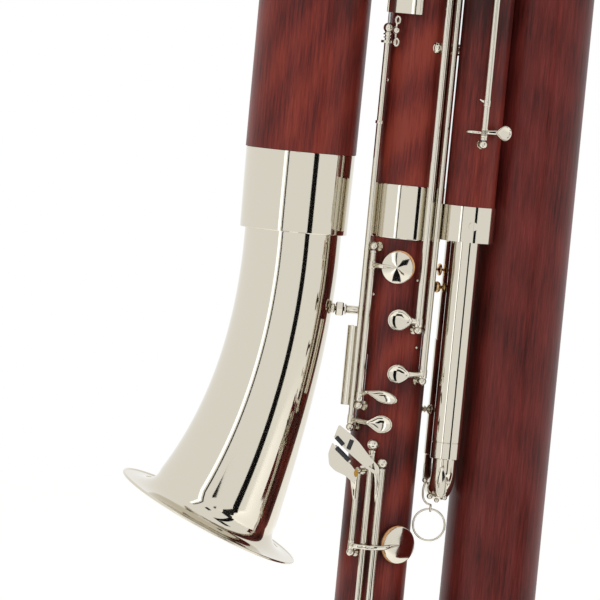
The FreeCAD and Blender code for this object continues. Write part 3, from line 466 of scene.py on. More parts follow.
class Shape:
    """Gathers closed shells in millimetres and turns them into one named mesh in metres."""

    def __init__(self) -> None:
        """Starts with nothing."""
        self.points: list[Vector] = []
        self.faces: list[tuple[int, ...]] = []

    def rings(self, rings: Sequence[Sequence[Vector]], joined: bool = False) -> None:
        """Adds a skin over rings of equal count.

        Args:
            rings: The rings, each a closed loop of points.
            joined: Whether the last ring meets the first. Open ends are closed with a fan.
        """
        count = len(rings[0])
        base = len(self.points)
        for ring in rings:
            self.points.extend(ring)
        pairs = len(rings) if joined else len(rings) - 1
        for step in range(pairs):
            low = base + step * count
            high = base + (step + 1) % len(rings) * count
            for side in range(count):
                other = (side + 1) % count
                self.faces.append((low + side, low + other, high + other, high + side))
        if not joined:
            self.fan(base, count, True)
            self.fan(base + (len(rings) - 1) * count, count, False)

    def fan(self, first: int, count: int, backwards: bool) -> None:
        """Closes a ring with triangles to its middle.

        Args:
            first: The ring's first point.
            count: How many points it has.
            backwards: Whether the faces look back along the rings.
        """
        middle = sum((self.points[first + side] for side in range(count)), Vector()) / count
        self.points.append(middle)
        hub = len(self.points) - 1
        for side in range(count):
            pair = (first + side, first + (side + 1) % count)
            self.faces.append((pair[1], pair[0], hub) if backwards else (pair[0], pair[1], hub))

    def turned(self, outline: Sequence[tuple[float, float]], base: Vector, axis: Vector,
               sides: int = 48, joined: bool = True) -> None:
        """Adds a body of revolution.

        Args:
            outline: Pairs of radius and height, in order.
            base: The point at height zero.
            axis: The direction of height.
            sides: How many sides it has.
            joined: Whether the outline is a closed loop off the axis.
        """
        axis = axis.normalized()
        across = axis.cross(UP if abs(axis.z) < 0.9 else RIGHT).normalized()
        along = axis.cross(across)
        rings = []
        for radius, height in outline:
            centre = base + axis * height
            reach = max(radius, SMALLEST)
            rings.append([centre + (across * math.cos(turn) + along * math.sin(turn)) * reach
                          for turn in turns(sides)])
        self.rings(rings, joined)

    def solid(self, outline: Sequence[tuple[float, float]], base: Vector, axis: Vector,
              sides: int = 16, tip: float = 0.0) -> None:
        """Adds a closed body of revolution that reaches its axis at both ends.

        Args:
            outline: Pairs of radius and height of the skin, from foot to top.
            base: The point at height zero.
            axis: The direction of height.
            sides: How many sides it has.
            tip: How far the middle of the top stands over its edge.
        """
        foot, top = (CORE, outline[0][1]), (CORE, outline[-1][1] + tip)
        self.turned([foot, *outline, top], base, axis, sides, joined=False)

    def rod(self, start: Vector, course: Vector, radius: float, length: float, sides: int = 16) -> None:
        """Adds a plain rod of a radius and a length."""
        self.solid([(radius, 0.0), (radius, length)], start, course, sides)

    def append(self, points: Iterable[Vector], faces: Iterable[Sequence[int]]) -> None:
        """Adds a finished skin in millimetres."""
        base = len(self.points)
        self.points.extend(points)
        self.faces.extend(tuple(base + point for point in face) for face in faces)

    def bar(self, stations: Sequence[Station], wide_way: Vector, sides: int = 16) -> None:
        """Adds an oval bar along a run of stations.

        Args:
            stations: The run.
            wide_way: The direction of the stations' half width.
            sides: How many sides it has.
        """
        rings = []
        last = len(stations) - 1
        for index, station in enumerate(stations):
            course = stations[min(index + 1, last)].place - stations[max(index - 1, 0)].place
            course.normalize()
            wide = (wide_way - course * wide_way.dot(course)).normalized()
            high = course.cross(wide)
            rings.append(oval(station.place, wide, high, (station.wide, station.high), sides))
        self.rings(rings)

    def ball(self, centre: Vector, radius: float, sides: int = 24) -> None:
        """Adds a ball."""
        steps = sides // 2
        outline = [(radius * math.sin(turn), -radius * math.cos(turn))
                   for turn in (math.pi * step / steps for step in range(steps + 1))]
        self.turned(outline, centre, UP, sides, joined=False)

    def turn(self, matrix: Matrix) -> None:
        """Moves every point gathered so far."""
        self.points = [matrix @ point for point in self.points]

    def make(self, name: str, crease_deg: float = 32.0) -> bpy.types.Object:
        """Makes the mesh and its object.

        Args:
            name: The piece's name.
            crease_deg: Edges sharper than this stay crisp.

        Returns:
            The object.
        """
        mesh = bpy.data.meshes.new(name)
        mesh.from_pydata([tuple(point * MM) for point in self.points], [], self.faces)
        shell = bmesh.new()
        shell.from_mesh(mesh)
        bmesh.ops.remove_doubles(shell, verts=shell.verts, dist=MERGE_M)
        bmesh.ops.recalc_face_normals(shell, faces=shell.faces)
        shell.to_mesh(mesh)
        shell.free()
        mesh.shade_smooth()
        mesh.set_sharp_from_angle(angle=math.radians(crease_deg))
        return put(name, mesh)


def rounded(outline: Sequence[tuple[float, float]], bevel: float,
            steps: int = 3) -> list[tuple[float, float]]:
    """Rounds the corners of a closed outline of radius and height.

    Args:
        outline: The corners.
        bevel: How far from each corner the rounding starts.
        steps: How many steps each corner gets.

    Returns:
        The finer outline.
    """
    finer = []
    count = len(outline)
    for index, corner in enumerate(outline):
        here = Vector(corner)
        before = Vector(outline[index - 1]) - here
        after = Vector(outline[(index + 1) % count]) - here
        reach = min(bevel, before.length * 0.45, after.length * 0.45)
        start, end = here + before.normalized() * reach, here + after.normalized() * reach
        for step in range(steps + 1):
            t = step / steps
            finer.append(tuple(start * (1 - t) ** 2 + here * (2 * t * (1 - t)) + end * t ** 2))
    return finer


def held(outline: Sequence[tuple[float, float]], gap: float = 0.25) -> list[tuple[float, float]]:
    """Adds points beside the ends of long straight stretches, so that they shade as straight.

    Args:
        outline: A closed outline.
        gap: How far from each end a point goes.

    Returns:
        The outline with the added points.
    """
    finer = []
    for index, corner in enumerate(outline):
        here = Vector(corner)
        stretch = Vector(outline[(index + 1) % len(outline)]) - here
        finer.append(tuple(here))
        if stretch.length > 8 * gap:
            step = stretch.normalized() * gap
            finer += [tuple(here + step), tuple(here + stretch - step)]
    return finer


@dataclass
class WirePath:
    """Geometry Nodes that draw a round wire along a path."""

    tree: Optional[bpy.types.GeometryNodeTree] = None

    def build(self) -> None:
        """Makes the tree, with the wire's radius, sides and finish as inputs."""
        tree = bpy.data.node_groups.new("wire_along_path", "GeometryNodeTree")
        for name, kind in (("Geometry", "Geometry"), ("Wire Radius", "Float"), ("Sides", "Int"),
                           ("Finish", "Material")):
            tree.interface.new_socket(name, in_out="INPUT", socket_type="NodeSocket" + kind)
        tree.interface.new_socket("Geometry", in_out="OUTPUT", socket_type="NodeSocketGeometry")
        kit = NodeKit(tree)
        given = kit.add("NodeGroupInput")
        path = kit.add("GeometryNodeMeshToCurve")
        section = kit.add("GeometryNodeCurvePrimitiveCircle")
        sweep = kit.add("GeometryNodeCurveToMesh")
        sweep.inputs["Fill Caps"].default_value = True
        smooth = kit.add("GeometryNodeSetShadeSmooth")
        whole = kit.add("GeometryNodeRealizeInstances")
        finish = kit.add("GeometryNodeSetMaterial")
        result = kit.add("NodeGroupOutput")
        kit.link(given.outputs["Geometry"], path.inputs[0])
        kit.link(given.outputs["Wire Radius"], section.inputs["Radius"])
        kit.link(given.outputs["Sides"], section.inputs["Resolution"])
        kit.link(path.outputs[0], sweep.inputs["Curve"])
        kit.link(section.outputs[0], sweep.inputs["Profile Curve"])
        kit.link(sweep.outputs[0], smooth.inputs[0])
        kit.link(smooth.outputs[0], whole.inputs[0])
        kit.link(whole.outputs[0], finish.inputs["Geometry"])
        kit.link(given.outputs["Finish"], finish.inputs["Material"])
        kit.link(finish.outputs[0], result.inputs[0])
        self.tree = tree

    def draw(self, name: str, paths: Sequence[tuple[Sequence[Vector], bool]], radius: float,
             finish: bpy.types.Material, sides: int = 14) -> bpy.types.Object:
        """Draws wires of one radius as one piece.

        Args:
            name: The piece's name.
            paths: Runs of points in millimetres, each with whether it is closed.
            radius: The wire's radius in millimetres.
            finish: The wire's material.
            sides: How many sides the wire has.

        Returns:
            The finished piece, with no modifier left.
        """
        points: list[tuple] = []
        edges: list[tuple[int, int]] = []
        for run, closed in paths:
            base = len(points)
            points.extend(tuple(point * MM) for point in run)
            edges.extend((base + step, base + step + 1) for step in range(len(run) - 1))
            if closed:
                edges.append((base + len(run) - 1, base))
        mesh = bpy.data.meshes.new(name)
        mesh.from_pydata(points, edges, [])
        piece = put(name, mesh)
        modifier = piece.modifiers.new("wire", "NODES")
        modifier.node_group = self.tree
        keys = {item.name: item.identifier for item in self.tree.interface.items_tree
                if item.in_out == "INPUT"}
        modifier[keys["Wire Radius"]] = radius * MM
        modifier[keys["Sides"]] = sides
        modifier[keys["Finish"]] = finish
        return plain(piece)


def plain(piece: bpy.types.Object) -> bpy.types.Object:
    """Turns a piece with modifiers into a plain mesh."""
    graph = bpy.context.evaluated_depsgraph_get()
    mesh = bpy.data.meshes.new_from_object(piece.evaluated_get(graph))
    piece.modifiers.clear()
    piece.data = mesh
    mesh.name = piece.name
    return piece


# Where things stand


@dataclass(frozen=True)
class Tube:
    """One upright tube, read from the frame: its axis and how thick it is."""

    x: float
    y: float
    radius: float

    @classmethod
    def of(cls, node: str) -> "Tube":
        """Reads a tube from a node's box.

        Args:
            node: The wooden joint's node.

        Returns:
            The tube, in millimetres.
        """
        low, high = (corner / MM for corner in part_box(node))
        return cls((low.x + high.x) / 2, (low.y + high.y) / 2, (high.x - low.x) / 2)

    def at(self, z: float) -> Vector:
        """Gives the point of the axis at a height."""
        return Vector((self.x, self.y, z))

    def out(self, angle: float) -> Vector:
        """Gives the level direction at an angle from the front, positive towards the right."""
        turn = math.radians(angle)
        return Vector((math.sin(turn), -math.cos(turn), 0.0))

    def point(self, angle: float, reach: float, z: float) -> Vector:
        """Gives the point at an angle, a reach from the axis and a height."""
        return self.at(z) + self.out(angle) * reach

    def angle_of(self, place: Vector) -> float:
        """Gives the angle from the front at which a place stands."""
        return math.degrees(math.atan2(place.x - self.x, self.y - place.y))

    def beside(self, side: float, z: float, depth: float) -> Vector:
        """Gives a point by its side and its depth towards the front."""
        return Vector((self.x + side, self.y - depth, z))


@dataclass
class Plan:
    """Everything that the sub-assemblies share: tubes, finishes, wires and the frame."""

    frame: dict
    finishes: Finishes
    wires: WirePath
    middle: Tube
    bass: Tube
    wing: Tube
    bell: Tube
    receiver: Tube

    @classmethod
    def read(cls, frame: dict, finishes: Finishes) -> "Plan":
        """Reads the plan from the frame.

        Args:
            finishes: The finishes.

        Returns:
            The plan.
        """
        wires = WirePath()
        wires.build()
        return cls(frame, finishes, wires, Tube.of("middle_joint"), Tube.of("bass_joint"),
                   Tube.of("wing_joint"), Tube.of("bell_joint"), Tube.of("receiver_tube"))

    def joint(self, name: str) -> dict:
        """Gives the record's joint of a name."""
        return next(joint for joint in self.frame["joints"] if joint["name"] == name)

    def fit(self, piece: bpy.types.Object, body: str, slot: Slot = Slot.SILVER,
            nodes: Iterable[str] = ()) -> bpy.types.Object:
        """Dresses a piece and fixes it to its body.

        Args:
            piece: The piece.
            body: The body that it moves with.
            slot: The material slot of its finish.
            nodes: The nodes that it stands for.

        Returns:
            The piece.
        """
        self.finishes.dress(piece, slot)
        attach(piece, body)
        for node in nodes:
            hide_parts(node)
        log.info("made %s", piece.name)
        return piece


# Keywork


class Crown(Enum):
    """How a cup's top is spun."""

    POINTED = 2.3
    FLAT = 0.18


# Scale and rise of a touch's section, from its underside over the rolled rim into the dish
DISH = ((0.05, -0.9), (0.45, -0.7), (0.80, -0.1), (0.96, 0.7), (1.0, 1.5), (0.995, 2.2), (0.965, 2.5),
        (0.93, 2.55), (0.895, 2.3), (0.86, 1.75), (0.80, 1.45), (0.68, 1.1), (0.50, 0.75), (0.30, 0.53),
        (0.13, 0.45), (0.03, 0.43))


@dataclass(frozen=True)
class Touch:
    """A dished finger plate: its angle on the tube, its height and its half sizes."""

    angle: float
    height: float
    major: float
    minor: float
    tilt_deg: float = 0.0
    lift: float = 7.0
    neck: float = 0.30
    rise: float = 1.3
    neck_turn_deg: float = 25.0
    neck_taper: float = 1.4
    neck_rise: float = 1.3
    sides: int = 56

    def along(self, out: Vector) -> Vector:
        """Gives the direction of the long half size."""
        return Matrix.Rotation(math.radians(self.tilt_deg), 3, out) @ UP.cross(out)

    def edge(self, turn: float) -> tuple[float, float]:
        """Gives how far the pear-shaped rim reaches along and aside, at a turn from the neck."""
        tip = max(math.cos(turn), 0.0)
        return (self.major * math.cos(turn) * (1 + self.neck * tip ** 3),
                self.minor * math.sin(turn) * (1 - self.neck_taper * self.neck * tip ** 2))

    def add(self, shape: Shape, tube: Tube, pivot: Vector) -> None:
        """Adds the plate with its rolled rim, and its neck.

        Args:
            shape: What it is added to.
            tube: The tube that it lies over.
            pivot: The hinge's axis, at any height.
        """
        out = tube.out(self.angle)
        centre = tube.point(self.angle, tube.radius + self.lift, self.height + self.rise)
        toward = math.copysign(1.0, (pivot - centre).dot(UP.cross(out)))
        along = self.along(out) * toward
        aside = out.cross(along)
        rim = [self.edge(turn) for turn in turns(self.sides)]
        shape.rings([[centre + (along * reach + aside * width) * scale + out * rise for reach, width in rim]
                     for scale, rise in DISH])
        hinge = Vector((pivot.x, pivot.y, self.height + self.rise * 0.5))
        reach, wide = self.edge(math.radians(self.neck_turn_deg))
        start = centre + along * reach + out * self.neck_rise
        shape.bar(smooth_run([Station(start, wide, 0.8),
                              Station(start.lerp(hinge, 0.35), 0.5 * wide + 1.0, 1.2),
                              Station(start.lerp(hinge, 0.65), 0.25 * wide + 1.5, 1.6),
                              Station(hinge, 3.3, 2.6)], 6), UP)


@dataclass
class Key:
    """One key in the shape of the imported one: hinge tube, cup, arm and touch."""

    name: str
    tube: str
    length: float
    cup_angle: float
    cup_height: float
    pad: float
    open_deg: float = 0.0
    touch: Optional[Touch] = None
    crown: Crown = Crown.POINTED
    bridge: bool = False
    hinge_radius: float = 2.9
    seat_height: float = 3.7
    pad_thickness: float = 3.0
    bore: float = 1.55
    collar: float = 2.0
    sleeve_length: float = 8.0
    crown_foot: float = 3.75
    rim_reach: float = 1.8
    rim_height: float = 5.2
    arm_root: tuple[float, float] = (2.7, 2.2)
    arm_bridge: tuple[float, float] = (2.3, 1.7)
    arm_rim: tuple[float, float] = (2.2, 1.5)
    arm_crown: tuple[float, float] = (1.7, 0.9)
    arm_tip: tuple[float, float] = (0.7, 0.4)
    bridge_rise: float = 4.9
    arm_drop: float = 0.0
    barrel_gap: Optional[tuple] = None
    pad_shows: Optional[tuple] = None
    shape: Shape = field(default_factory=Shape)
    pivot: Vector = field(default_factory=Vector)

    def place(self, plan: Plan) -> Tube:
        """Reads the hinge's axis from the record and gives the tube that carries the key."""
        move = "close" if self.open_deg else "open"
        self.pivot = Vector(plan.joint("%s_%s" % (self.name, move))["pos_m"]) / MM
        return getattr(plan, self.tube)

    def barrel(self) -> None:
        """Adds the hinge tube with a collar at each end."""
        foot, top = self.pivot.z - self.length / 2, self.pivot.z + self.length / 2
        spans = [(foot, top)]
        if self.barrel_gap:
            spans = [(foot, self.barrel_gap[0]), (self.barrel_gap[1], top)]
        for low, high in spans:
            self.tube_span(low, high)

    def tube_span(self, low: float, high: float) -> None:
        """Adds one stretch of hinge tube between two heights."""
        thick, bore, collar, long = self.hinge_radius, self.bore, self.collar, high - low
        edge, step = thick + 0.3, collar + 0.4
        outline = [(bore, 0.0), (edge, 0.0), (edge, collar), (thick, step), (thick, long - step),
                   (edge, long - collar), (edge, long), (bore, long)]
        self.shape.turned(outline, Vector((self.pivot.x, self.pivot.y, low)), UP, 28)

    def sleeve(self, height: float, long: float) -> None:
        """Adds the soldered sleeve that carries an arm."""
        thick = self.hinge_radius
        outline = rounded([(thick - 0.4, 0.0), (thick + 0.45, 0.0), (thick + 0.45, long),
                           (thick - 0.4, long)], 0.4, 2)
        base = Vector((self.pivot.x, self.pivot.y, height - long / 2))
        self.shape.turned(outline, base, UP, 28)

    def cup(self, tube: Tube) -> Vector:
        """Adds the cup and gives the point on the underside of its pad.

        Args:
            tube: The tube under the pad.

        Returns:
            The cup's base.
        """
        out = tube.out(self.cup_angle)
        base = tube.point(self.cup_angle, tube.radius + self.seat_height, self.cup_height)
        pad, deep, foot, rise = self.pad, self.pad_thickness, self.crown_foot, self.crown.value
        self.shape.solid([(pad, deep), (pad, 1.0), (pad + 0.8, 1.0), (pad + 0.8, 2.9), (pad + 0.66, 3.4),
                          (pad + 0.3, 3.66), (pad, foot), (pad * 0.5, foot + rise * 0.5),
                          (pad * 0.06, foot + rise * 0.94)],
                         base, out, 72, rise * 0.06)
        return base

    def arm(self, tube: Tube, base: Vector) -> None:
        """Adds the arm from the hinge over the rim to the crown.

        Args:
            tube: The tube under the pad.
            base: The cup's base.
        """
        out = tube.out(self.cup_angle)
        angle = tube.angle_of(self.pivot)
        reach = (self.pivot.xy - Vector((tube.x, tube.y))).length
        side = 1.0 if self.signed(angle - self.cup_angle) > 0 else -1.0
        along = UP.cross(out) * side
        rim = self.pad + self.rim_reach
        low = self.cup_height - self.arm_drop
        hinge = Vector((self.pivot.x, self.pivot.y, low))
        stations = [Station(hinge, *self.arm_root)]
        if self.bridge:
            high = reach + self.hinge_radius + self.bridge_rise
            far = self.cup_angle + side * math.degrees(math.atan(rim / (tube.radius + self.seat_height)))
            for part in (0.22, 0.45, 0.72):
                turn = angle + (far - angle) * part
                stations.append(Station(tube.point(turn, high, low), *self.arm_bridge))
        crest = self.crown_foot + self.crown.value
        drop = UP * self.arm_drop
        over_rim = base + along * rim + out * self.rim_height - drop * 0.75
        on_crown = base + along * (rim * 0.55) + out * (crest + 0.2) - drop * 0.35
        stations += [Station(over_rim, *self.arm_rim), Station(on_crown, *self.arm_crown),
                     Station(base + along * 0.5 + out * (crest + 0.05), *self.arm_tip)]
        self.shape.bar(smooth_run(stations, 7), UP)

    def signed(self, turn: float) -> float:
        """Brings an angle between half a turn back and half a turn on."""
        return (turn + 180.0) % 360.0 - 180.0

    def pad_edge(self, tube: Tube) -> Optional[Shape]:
        """Gives the soft edge of a pad that stands out from under its cup, or nothing."""
        if not self.pad_shows:
            return None
        out = tube.out(self.cup_angle)
        aside, up = self.pad_shows
        shift = UP.cross(out) * aside + UP * up
        base = tube.point(self.cup_angle, tube.radius + self.seat_height, self.cup_height) + shift
        edge = Shape()
        edge.turned(rounded([(self.pad - 1.0, 0.25), (self.pad + 1.0, 0.25), (self.pad + 1.0, 2.6),
                             (self.pad - 1.0, 2.6)], 0.6, 3), base, out, 72)
        return edge

    def extras(self, plan: Plan, tube: Tube) -> None:
        """Adds what only this key has."""

    def build(self, plan: Plan) -> bpy.types.Object:
        """Makes the key at its rest.

        Args:
            plan: The shared plan.

        Returns:
            The finished key.
        """
        tube = self.place(plan)
        self.barrel()
        base = self.cup(tube)
        self.arm(tube, base)
        self.sleeve(self.cup_height - self.arm_drop, self.sleeve_length)
        if self.touch:
            self.touch.add(self.shape, tube, self.pivot)
            self.sleeve(self.touch.height, self.sleeve_length)
        self.extras(plan, tube)
        edge = self.pad_edge(tube)
        side = 1.0 if self.signed(self.cup_angle - tube.angle_of(self.pivot)) > 0 else -1.0
        there = Matrix.Translation(Vector((self.pivot.x, self.pivot.y, 0.0)))
        opened = there @ Matrix.Rotation(math.radians(-side * self.open_deg), 4, "Z") @ there.inverted()
        self.shape.turn(opened)
        if edge:
            edge.turn(opened)
            plan.fit(edge.make(self.name + "_pad_edge"), self.name, Slot.LEATHER)
        return plan.fit(self.shape.make(self.name + "_polished"), self.name, Slot.SILVER, [self.name])


@dataclass
class LeverKey(Key):
    """The key of the wing joint, with an oval lever seen on its edge."""

    lever_height: float = 931.5
    collar_height: float = 959.0
    loop: tuple[float, float] = (7.0, 4.2)
    loop_sides: int = 40

    def extras(self, plan: Plan, tube: Tube) -> None:
        """Adds the lever's loop and the collar with its pointed lug."""
        centre = Vector((self.pivot.x - 9.0, self.pivot.y - 1.0, self.lever_height))
        path = oval(centre, RIGHT, FRONT, self.loop, self.loop_sides)
        rings = []
        for index, place in enumerate(path):
            course = (path[(index + 1) % self.loop_sides] - path[index - 1]).normalized()
            rings.append(oval(place, course.cross(UP), UP, (0.8, 1.1), 10))
        self.shape.rings(rings, joined=True)
        hinge = Vector((self.pivot.x, self.pivot.y, self.lever_height))
        self.shape.bar([Station(centre + RIGHT * 6.6, 1.1, 0.9), Station(hinge, 2.2, 1.6)], UP, 12)
        self.sleeve(self.lever_height, 6.0)
        self.sleeve(self.collar_height, 6.0)
        self.shape.bar([Station(hinge + UP * (self.collar_height - self.lever_height), 2.2, 2.0),
                        Station(hinge + Vector((-7.0, 0.0, self.collar_height + 2.8 - self.lever_height)),
                                0.5, 0.4)], UP, 12)


@dataclass
class PlateKey(Key):
    """A low key with a flat finger plate, rollers let into it and a tongue down its hinge tube."""

    corners: Sequence[tuple[float, float]] = ()
    window: Sequence[tuple[float, float]] = ()
    rollers: Sequence[tuple[tuple[float, float], tuple[float, float]]] = ()
    tongue: Sequence[tuple[float, float, float, float]] = ()
    depth: float = 45.0
    thick: float = 2.2
    room_radius: float = 2.5
    axle_radius: float = 0.6
    lug_radius: float = 1.5
    lug_length: float = 1.5
    end_play: float = 0.25
    corner: float = 2.2
    edge_break: float = 0.35
    tongue_thick: float = 1.3

    def sheet(self, tube: Tube, name: str, corners: Sequence[tuple[float, float]], thick: float,
              bevel: float) -> bpy.types.Object:
        """Makes a flat sheet facing the front.

        Args:
            tube: The tube that its corners are measured from.
            name: The sheet's name.
            corners: Pairs of side and height.
            thick: Its thickness.
            bevel: How much its edges are broken.

        Returns:
            The sheet.
        """
        shell = bmesh.new()
        points = [shell.verts.new(tube.beside(side, height, self.depth - thick / 2) * MM)
                  for side, height in corners]
        face = shell.faces.new(points)
        grown = bmesh.ops.extrude_face_region(shell, geom=[face])
        moved = [item for item in grown["geom"] if isinstance(item, bmesh.types.BMVert)]
        bmesh.ops.translate(shell, vec=FRONT * (thick * MM), verts=moved)
        bmesh.ops.recalc_face_normals(shell, faces=shell.faces)
        if bevel:
            rim = [edge for edge in shell.edges if abs(edge.verts[0].co.y - edge.verts[1].co.y) < 1e-7]
            bmesh.ops.bevel(shell, geom=rim, offset=bevel * MM, segments=2, affect="EDGES")
        mesh = bpy.data.meshes.new(name)
        shell.to_mesh(mesh)
        shell.free()
        return put(name, mesh)

    def cut_out(self, sheet: bpy.types.Object, tools: Sequence[bpy.types.Object]) -> None:
        """Takes tools out of the sheet, and removes them."""
        for tool in tools:
            modifier = sheet.modifiers.new("cut", "BOOLEAN")
            modifier.operation = "DIFFERENCE"
            modifier.solver = "EXACT"
            modifier.object = tool
            plain(sheet)
        for tool in tools:
            bpy.data.objects.remove(tool)

    def extras(self, plan: Plan, tube: Tube) -> None:
        """Adds the plate with its rollers' rooms, lugs and axles, and the tongue."""
        if self.corners:
            sheet = self.sheet(tube, self.name + "_sheet", rounded(self.corners, self.corner),
                               self.thick, self.edge_break)
            tools = []
            for index, (start, end) in enumerate(self.rollers):
                first = tube.beside(start[0], start[1], self.depth)
                last = tube.beside(end[0], end[1], self.depth)
                axis, long = (last - first).normalized(), (last - first).length
                play, lug = self.end_play, self.lug_length
                room = Shape()
                room.rod(first - axis * play, axis, self.room_radius, long + 2 * play, 24)
                tools.append(room.make("room_%d" % index))
                self.shape.rod(first - axis * lug, axis, self.axle_radius, long + 2 * lug, 12)
                for place in (first - axis * (play + lug), last + axis * play):
                    self.shape.rod(place, axis, self.lug_radius, lug, 16)
            if self.window:
                tools.append(self.sheet(tube, "window", self.window, 3 * self.thick, 0.0))
            self.cut_out(sheet, tools)
            self.shape.append([point.co / MM for point in sheet.data.vertices],
                              [tuple(face.vertices) for face in sheet.data.polygons])
            bpy.data.objects.remove(sheet)
        stations = [Station(tube.beside(side, height, depth), wide, min(wide, self.tongue_thick))
                    for side, height, depth, wide in self.tongue]
        if stations:
            self.shape.bar(smooth_run(stations, 6), RIGHT, 14)


@dataclass
class Keywork:
    """All eleven keys, with the cork bumper and the small beads beside them."""

    keys: Sequence[Key] = field(default_factory=lambda: [
        Key("index_key", "middle", 424.0, -14.0, 1155.0, 15.0, 7.0,
            Touch(1.6, 750.6, 10.6, 9.8, neck=0.20), hinge_radius=3.5),
        Key("middle_finger_key", "middle", 430.0, -8.0, 1114.0, 15.0, 7.0,
            Touch(5.1, 703.4, 9.8, 8.6, neck=0.20, rise=-1.2), bridge=True, hinge_radius=3.5),
        Key("ring_finger_key", "middle", 577.0, -16.0, 1216.0, 15.0, 7.0,
            Touch(-4.5, 654.8, 10.6, 8.2, neck=0.34, rise=-0.4), barrel_gap=(1016.0, 1036.0)),
        Key("side_key", "middle", 140.0, -4.4, 799.9, 14.0, 7.0,
            Touch(-5.6, 677.5, 13.2, 5.6, tilt_deg=-11.0, neck=0.40, rise=2.2), pad_shows=(0.9, 0.9)),
        PlateKey("low_key", "middle", 69.0, 35.0, 543.0, 16.6, crown=Crown.FLAT, bridge=True,
                 arm_drop=3.4, pad_shows=(-1.0, 0.2),
                 corners=[(-48.5, 634.0), (-51.5, 623.0), (-49.7, 612.5), (-43.8, 607.5), (-33.5, 603.8),
                          (-29.0, 600.2), (-25.2, 597.0), (-22.6, 601.5), (-23.6, 608.0), (-28.5, 613.5),
                          (-42.5, 626.0)],
                 rollers=[((-44.6, 629.2), (-31.6, 618.2))],
                 tongue=[(-27.2, 606.0, 44.6, 3.4), (-25.8, 600.0, 44.4, 2.9), (-25.0, 593.0, 43.4, 2.2),
                         (-24.4, 587.0, 42.0, 1.6), (-23.8, 582.5, 40.6, 1.1)]),
        PlateKey("far_low_key", "middle", 168.0, 36.0, 460.0, 17.0, crown=Crown.FLAT, hinge_radius=3.6,
                 corners=[(-44.1, 650.7), (-47.6, 638.6), (-35.5, 627.4), (-14.8, 612.2), (-6.2, 607.4),
                          (-2.4, 608.6), (-3.4, 614.8), (-12.6, 623.4), (-23.9, 635.9), (-30.7, 641.5)],
                 window=[(-13.2, 614.2), (-7.0, 611.6), (-8.8, 618.4)],
                 rollers=[((-45.6, 638.9), (-38.2, 632.1)), ((-30.8, 637.4), (-33.4, 628.6))],
                 tongue=[(-5.6, 611.5, 44.8, 2.6), (-4.4, 604.0, 44.6, 2.3), (-3.9, 596.0, 44.2, 1.9),
                         (-3.8, 588.0, 43.4, 1.5), (-3.4, 582.0, 42.6, 1.0)]),
        PlateKey("linked_low_key", "middle", 284.0, 26.0, 360.0, 17.0, crown=Crown.FLAT, hinge_radius=3.0,
                 tongue=[(-10.9, 624.0, 40.7, 2.0), (-20.0, 624.0, 41.6, 1.8), (-30.0, 624.0, 42.2, 1.4)]),
        LeverKey("wing_key", "wing", 193.0, 62.0, 1105.0, 10.0, 7.0, Touch(48.0, 931.5, 8.5, 7.0)),
        Key("left_hand_key", "wing", 93.0, -34.0, 1216.0, 10.0, 7.0, Touch(-26.0, 1148.0, 9.0, 7.0)),
        Key("thumb_low_key", "bass", 400.0, 196.0, 524.0, 21.0, 6.0, Touch(190.0, 885.0, 11.0, 8.0)),
        Key("thumb_high_key", "bass", 325.0, 196.0, 1230.0, 21.0, 6.0, Touch(190.0, 946.0, 11.0, 8.0)),
    ])
    bumper: tuple = (-24.0, 607.3, 46.0)
    bumper_size: tuple = (2.0, 3.7)
    beads: Sequence[tuple[float, float]] = ((15.5, 789.4), (-23.2, 772.6), (-28.8, 971.5), (20.5, 727.0))
    bead_radius: float = 1.5

    def build(self, plan: Plan) -> None:
        """Makes every key, the bumper and the beads."""
        for key in self.keys:
            key.build(plan)
        self.build_bumper(plan)
        self.build_beads(plan)

    def build_bumper(self, plan: Plan) -> None:
        """Makes the cork bumper let into the lower plate."""
        dot = Shape()
        side, height, depth = self.bumper
        centre = plan.middle.beside(side, height, depth)
        wide, tall = self.bumper_size
        dot.rings([oval(centre + FRONT * rise, RIGHT, UP, (wide * scale, tall * scale), 32)
                   for scale, rise in ((0.9, -0.6), (1.0, 0.1), (0.92, 0.5), (0.5, 0.75), (0.1, 0.8))])
        piece = plan.fit(dot.make("plate_bumper"), "low_key", Slot.CORK)
        plan.finishes.paint(piece, plan.finishes.bumper_made)

    def build_beads(self, plan: Plan) -> None:
        """Makes the small bead heads of the spring catches on the wood."""
        beads = Shape()
        tube = plan.middle
        for side, height in self.beads:
            angle = math.degrees(math.asin(side / tube.radius))
            beads.ball(tube.point(angle, tube.radius + 0.5, height), self.bead_radius, 14)
        plan.fit(beads.make("catch_beads"), "instrument")


# The bell


